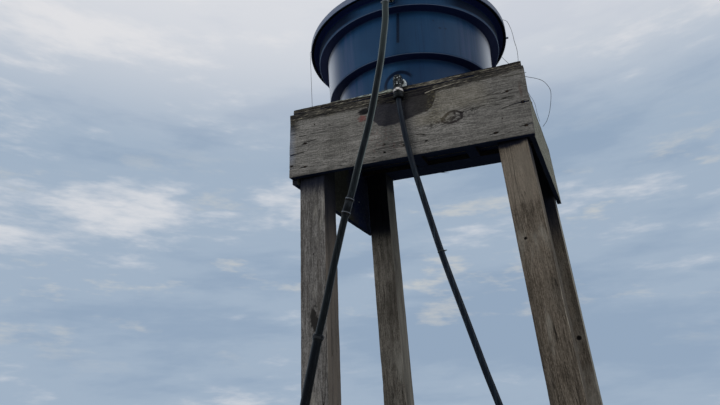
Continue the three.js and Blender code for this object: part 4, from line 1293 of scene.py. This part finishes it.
SLIVER = sliver_finish("sliver_wood", "68655a", "1c1a17")
CHIP = sliver_finish("fresh_wood", "b9b2a3", "7d766a")
splinters()


def nails():
    """Nail heads in the planks and the deck, a little sunk."""
    rng = random.Random(11)
    places = [place for place, size in FRONT_HOLES[:HEADS_LEFT]] + [(-0.570, 3.01), (0.40, 2.83)]
    heads = [(x, FRONT + 0.0012, z, (0, -1, 0)) for x, z in places]
    for y in (-0.37, -0.32, 0.45, 0.51):
        for z in (2.79, 2.91, 3.02):
            heads.append((LEFT + 0.0014 + SLANT * (y - FRONT), y, z + rng.uniform(-0.02, 0.02) - 0.03,
                          (-1, 0.115, 0)))
            low = z + rng.uniform(-0.02, 0.02)
            face = RIGHT - 0.0044 + SLANT * (y - FRONT) - RIGHT_LEAN * (low - PLANK_LOW)
            heads.append((face, y, low, (1, -0.115, RIGHT_LEAN)))
    for y in (-0.40, -0.29, -0.20, -0.08, 0.01, 0.13, 0.21, 0.33, 0.42, 0.53):
        for x in (-0.64, -0.26, 0.08, 0.45):
            heads.append((x + SLANT * (y - FRONT) + rng.uniform(-0.012, 0.012), y, DECK_TOP - 0.0018,
                          (0, 0, 1)))
    bm = bmesh.new()
    for x, y, z, way in heads:
        head = bmesh.new()
        bmesh.ops.create_cone(head, cap_ends=True, cap_tris=False, segments=12, radius1=0.0042,
                              radius2=0.0042, depth=0.0018)
        soften(head, [e for e in head.edges if all(v.co.z > 0 for v in e.verts)], 0.0006, 2)
        stand_along(head, (x, y, z), way, rng.uniform(0, 3))
        join_in(bm, head)
    finish_piece("nail_heads", bm, NAIL, sharp=35)


nails()


# ---------------------------------------------------------------- the tank
def cut(bm, other, operation="DIFFERENCE"):
    """One closed shape less another, or joined to it."""
    pair = []
    for shape in (bm, other):
        mesh = bpy.data.meshes.new("shape")
        shape.to_mesh(mesh)
        shape.free()
        pair.append(linked("shape", mesh))
    step = pair[0].modifiers.new("cut", "BOOLEAN")
    step.operation, step.object, step.solver = operation, pair[1], "EXACT"
    bpy.context.view_layer.update()
    done = bpy.data.meshes.new_from_object(pair[0].evaluated_get(bpy.context.evaluated_depsgraph_get()))
    made = bmesh.new()
    made.from_mesh(done)
    bpy.data.meshes.remove(done)
    for thing in pair:
        mesh = thing.data
        bpy.data.objects.remove(thing)
        bpy.data.meshes.remove(mesh)
    bmesh.ops.remove_doubles(made, verts=made.verts, dist=2e-5)
    return made


def about_tank(bm):
    """Moves a shape made about Z onto the tank's axis."""
    return shifted(bm, (TANK_X, TANK_Y, 0))


def tank_piece():
    """The tank: a stepped shell with its recess and groove at the front and the inlet's stand-off."""
    wall = 0.006
    outer = rounded([
        (0, DECK_TOP), (0.436, DECK_TOP), (0.4363, 3.150), (0.4397, 3.300), (0.441, LOW_LEDGE),
        (0.496, LOW_LEDGE), (0.4965, 3.334), (0.5037, 3.570), (0.505, HIGH_LEDGE), (0.558, HIGH_LEDGE),
        (0.558, 3.6555), (0.592, 3.6605), (0.592, 3.672), (0, 3.672)],
        [0, 0.012, 0.004, 0.02, 0.007, 0.009, 0.004, 0.02, 0.007, 0.009, 0.006, 0.0025, 0.0025, 0], 5)
    inner = rounded([
        (0, DECK_TOP + wall), (0.430, DECK_TOP + wall), (0.4303, 3.156), (0.434, LOW_LEDGE + wall),
        (0.490, LOW_LEDGE + wall), (0.498, HIGH_LEDGE + wall), (0.552, HIGH_LEDGE + wall), (0.552, 3.70),
        (0, 3.70)], 0.010, 3)
    body = about_tank(spun(outer, 160))
    dish = [(0, 0), (0.071, 0), (0.0875, 0.0085), (0.094, 0.05), (0, 0.05)]
    sunk = rounded(dish, [0, 0.006, 0.004, 0, 0], 4)
    body = cut(body, stand_along(spun(sunk, 72), out_at(OUT_FACE), OUT_WAY))
    groove = turned(turned(block((0.0135, 0.030, 0.186)), 0.0297, "X"), GROOVE_TILT, "Y")
    groove = turned(shifted(groove, (0, -0.5126, GROOVE_HIGH)), GROOVE_TURN)
    body = cut(body, about_tank(groove))
    stand_off = rounded([(0, 0), (0.033, 0), (0.032, 0.037), (0.032, 0.040), (0, 0.040)], 0.003, 3)
    body = cut(body, stand_along(spun(stand_off, 48), in_at(0.525), IN_WAY), "UNION")
    space = about_tank(spun(inner, 96))
    behind = spun([(0, 0), (0.086, 0), (0.086, 0.06), (0, 0.06)], 48)
    space = cut(space, stand_along(behind, out_at(0.424), OUT_WAY))
    body = cut(body, space)
    return finish_piece("tank_shell", body, TANK, sharp=32, node="tank_body")


tank_piece()


def lid_piece():
    """The lid: a skirt, a rolled shoulder, a shallow cone with twelve sunk panels and a flat cap."""
    outside = [(0.610, RIM), (0.610, 3.6965), (0.6045, 3.7045), (0.565, 3.712), (0.552, 3.7235),
               (0.540, 3.7262), (0.440, 3.7478), (0.330, 3.7716), (0.215, 3.7964), (0.181, 3.8037),
               (0.166, 3.8177), (0.150, 3.8190), (0.066, 3.8256), (0.060, 3.8262), (0.0, 3.8278)]
    inside = [(0.0, 3.8218), (0.060, 3.8200), (0.159, 3.8120), (0.174, 3.7980), (0.540, 3.7186),
              (0.561, 3.7060), (0.596, 3.6990), (0.604, 3.6920), (0.604, RIM)]
    soft = [0, 0.007, 0.006, 0.01, 0.01, 0, 0, 0, 0, 0.006, 0.006, 0, 0.004, 0.004, 0]
    bm = spun(rounded(outside, soft, 4) + inside, 144, closed=True)
    panels = []
    for face in bm.faces:
        middle = face.calc_center_median()
        reach = math.hypot(middle.x, middle.y)
        if 0.216 < reach < 0.539 and face.normal.z > 0.5 and middle.z > 3.7262 + (0.540 - reach) * 0.19:
            part = math.degrees(math.atan2(middle.y, middle.x)) % 30
            if 1.6 < part < 28.4:
                panels.append(face)
    bmesh.ops.inset_region(bm, faces=panels, thickness=0.004, depth=-0.0022, use_even_offset=True,
                           use_boundary=True)
    join_in(bm, turned(shifted(block((0.016, 0.012, 0.007), 0.0015), (0.6160, 0, 3.668)), 0.10))
    return finish_piece("lid_shell", about_tank(bm), LID, sharp=32, node="tank_lid")


lid_piece()


# ---------------------------------------------------------------- fittings
def hexagon(radius, thick):
    bm = bmesh.new()
    bmesh.ops.create_cone(bm, cap_ends=True, cap_tris=False, segments=6, radius1=radius, radius2=radius,
                          depth=thick)
    shifted(bm, (0, 0, thick / 2))
    soften(bm, bm.edges[:], 0.0012, 3)
    return bm


def flange_piece(name, way, at, inside, face, wide, tube, thick, material, node):
    """The part of a bulkhead fitting that goes through the wall: flange, tube and thread."""
    long = face + thick + 0.008 - inside
    profile = [(0, 0), (wide, 0), (wide, 0.006), (tube + 0.001, 0.006), (tube, 0.008)]
    at_z = face + thick - inside - 0.002
    profile += [(tube, at_z)]
    while at_z < long - 0.003:
        profile += [(tube - 0.0012, at_z + 0.001), (tube, at_z + 0.002)]
        at_z += 0.002
    profile += [(tube - 0.001, long), (0, long)]
    return finish_piece(name, stand_along(spun(rounded(profile, 0.0006, 2), 48), at(inside), way), material,
                        node=node)


def nut_piece(name, way, at, face, wide, tube, thick, material, node):
    """A hex nut with its hole."""
    hole = spun([(0, -0.01), (tube + GAP, -0.01), (tube + GAP, thick + 0.01), (0, thick + 0.01)], 48)
    bm = cut(turned(hexagon(wide, thick), 0.2), hole)
    return finish_piece(name, stand_along(bm, at(face + GAP), way), material, sharp=30, node=node)


def ring_nut(name, way, at, face, wide, tube, thick, material, node):
    """A round nut with grips on a washer face, with its hole."""
    bore = tube + GAP
    profile = [(bore, 0), (wide, 0), (wide, 0.0045), (wide - 0.003, 0.006), (wide - 0.003, thick - 0.002),
               (wide - 0.0045, thick), (bore, thick)]
    bm = spun(rounded(profile, 0.0007, 2), 64, closed=True)
    blocks_round(bm, (0.0052, 0.0044, thick - 0.008), 0.0007, (wide - 0.0034, 0, thick / 2 + 0.002),
                 evenly(16))
    return finish_piece(name, stand_along(bm, at(face + GAP), way), material, sharp=30, node=node)


RIBS = ((0.06, 0.0), (0.10, 0.0), (0.14, -0.002), (0.30, -0.002), (0.34, 0), (0.40, 0), (0.44, -0.0015),
        (0.52, -0.0015), (0.56, 0), (0.62, 0), (0.66, -0.0015), (0.74, -0.0015), (0.78, 0), (0.84, 0),
        (0.88, -0.0015), (0.97, -0.0015), (1.0, -0.0025))
THICK_FOOT = ((0.03, 0), (0.06, -0.0008), (0.16, -0.0008), (0.18, 0), (0.22, 0), (0.25, -0.0008),
              (0.66, -0.0008), (0.735, -0.0008), (0.757, 0.0022), (0.775, 0.0030), (0.83, 0.0030),
              (0.84, 0.0016), (0.88, 0.0016), (0.89, 0.0030), (0.975, 0.0030), (1.0, 0.0012))


def elbow_piece(name, way, at, start, arm, leg, lean, radius, collar, material, node, leg_shape=RIBS):
    """A barbed elbow: hex collar, arm, bend and ribbed leg."""
    down = elbow_end(way, at, arm, leg, lean)[1]
    stations = [(at(start), way, collar - 0.005), (at(start + 0.012), way, collar - 0.005),
                (at(start + 0.013), way, radius - 0.001), (at(arm - 0.002), way, radius - 0.001)]
    for k in range(13):
        a = k / 12 * math.pi / 2
        place = at(arm) + way * (BEND * math.sin(a)) + down * (BEND * (1 - math.cos(a)))
        stations.append((place, way * math.cos(a) + down * math.sin(a), radius - 0.001))
    base = at(arm) + way * BEND + down * BEND
    for share, grow in leg_shape:
        stations.append((base + down * (leg * share), down, radius + grow))
    bm = swept(stations)
    join_in(bm, stand_along(hexagon(collar, 0.012), at(start), way, 0.3))
    return finish_piece(name, bm, material, sharp=35, node=node)


flange_piece("outlet_flange_tube", OUT_WAY, out_at, OUT_FLANGE_AT, OUT_FACE, 0.024, OUT_TUBE, OUT_NUT, WHITE,
             "outlet_flange")
ring_nut("outlet_ring_nut", OUT_WAY, out_at, OUT_FACE, 0.036, OUT_TUBE, OUT_NUT, WHITE, "outlet_nut")
elbow_piece("outlet_elbow_barb", OUT_WAY, out_at, OUT_ELBOW_AT, OUT_ARM, OUT_LEG, 0, 0.024, 0.028, BLACK,
            "outlet_elbow", THICK_FOOT)
flange_piece("inlet_flange_tube", IN_WAY, in_at, IN_FLANGE_AT, IN_FACE, 0.026, IN_TUBE, IN_NUT, BLACK,
             "inlet_flange")
nut_piece("inlet_hex_nut", IN_WAY, in_at, IN_FACE, 0.026, IN_TUBE, IN_NUT, BLACK, "inlet_nut")
elbow_piece("inlet_elbow_barb", IN_WAY, in_at, IN_ELBOW_AT, IN_ARM, IN_LEG, IN_LEAN, 0.017, 0.023, BLACK,
            "inlet_elbow")

# the wire over the lid keeps its CAD shape
wire_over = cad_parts["lid_wire"]
for entry in wire_over.material_slots:
    entry.material = TIE


# ---------------------------------------------------------------- floor, light and sky
def set_stage():
    bm = bmesh.new()
    bmesh.ops.create_circle(bm, cap_ends=True, segments=96, radius=5.5)
    bmesh.ops.recalc_face_normals(bm, faces=bm.faces)
    mesh = bpy.data.meshes.new("floor")
    bm.to_mesh(mesh)
    bm.free()
    made, shader, spot = start_finish("floor_paint")
    clouds = spot.grain(0.6, 3, 0.5)
    end_finish(shader, clouds.blend(tone("6c6e6a"), tone("757773")), 0.9, Specular_IOR_Level=0.2)
    mesh.materials.append(made)
    linked("floor", mesh)

    world = bpy.data.worlds.new("sky")
    bpy.context.scene.world = world
    world.use_nodes = True
    tree = world.node_tree
    back = tree.nodes["Background"]
    way = Sock(tree, None).node("TexCoord", (), (), "Generated")
    x, y, z = way.parts()
    puffs = way.cloud(x * 2.2, y * 2.2, z * 5.0, 4, 0.55)
    banks = way.cloud(x * 1.6 - z * 0.8, y * 1.6, z * 7.0, 6, 0.58)
    wisps = way.cloud(x * 5.0 + z * 3.0, y * 5.0, z * 19.0, 5, 0.62)
    sky = z.smooth(0.22, 0.62).blend((0.44, 0.52, 0.61, 1), (0.64, 0.67, 0.71, 1))
    sky = (puffs.smooth(0.42, 0.60) * 0.75).blend(sky, (0.38, 0.48, 0.60, 1))
    view = z.smooth(0.42, 0.66).blend((0.355, 0.445, 0.560, 1), (0.685, 0.705, 0.750, 1))
    deep = z.smooth(0.44, 0.62).blend((0.250, 0.345, 0.480, 1), (0.560, 0.600, 0.680, 1))
    view = (banks.smooth(0.50, 0.62) * 0.6).blend(view, deep)
    view = ((banks * 0.6 + wisps * 0.4).smooth(0.49, 0.36) * 0.75).blend(view, (0.780, 0.775, 0.790, 1))
    veil = wisps.smooth(0.56, 0.70) * z.between(0.14, 0.40, 0.08) * 0.5
    view = veil.blend(view, (0.700, 0.670, 0.600, 1))
    seen, glossy = (way.node("LightPath", (), (), name) for name in ("Is Camera Ray", "Is Glossy Ray"))
    sky = seen.blend(sky, view)
    sky = z.smooth(0.0, -0.10).blend(sky, (0.060, 0.066, 0.060, 1))
    trees = (0 - y).smooth(0.25, 0.75) * z.smooth(0.80, 0.50) * glossy
    sky = (trees * 0.85).blend(sky, (0.035, 0.045, 0.05, 1))
    tree.links.new(sky.socket, back.inputs["Color"])
    tree.links.new((0.70 + seen * 0.30).socket, back.inputs["Strength"])

    middle = Vector((0, 0, 2.9))
    for name, place, size, power, colour in (
            ("front_light", (-2.6, -6.0, 4.6), 4.0, 260, (1, 0.99, 0.97)),
            ("right_light", (5.5, -2.5, 4.0), 3.5, 120, (1, 0.98, 0.95)),
            ("back_light", (-3.5, 5.0, 5.5), 4.0, 160, (0.95, 0.98, 1))):
        data = bpy.data.lights.new(name, "AREA")
        data.size, data.energy, data.color = size, power, colour
        light = linked(name, data)
        light.matrix_world = aimed(place, middle - Vector(place), "-Z")
        light.visible_glossy = False


set_stage()
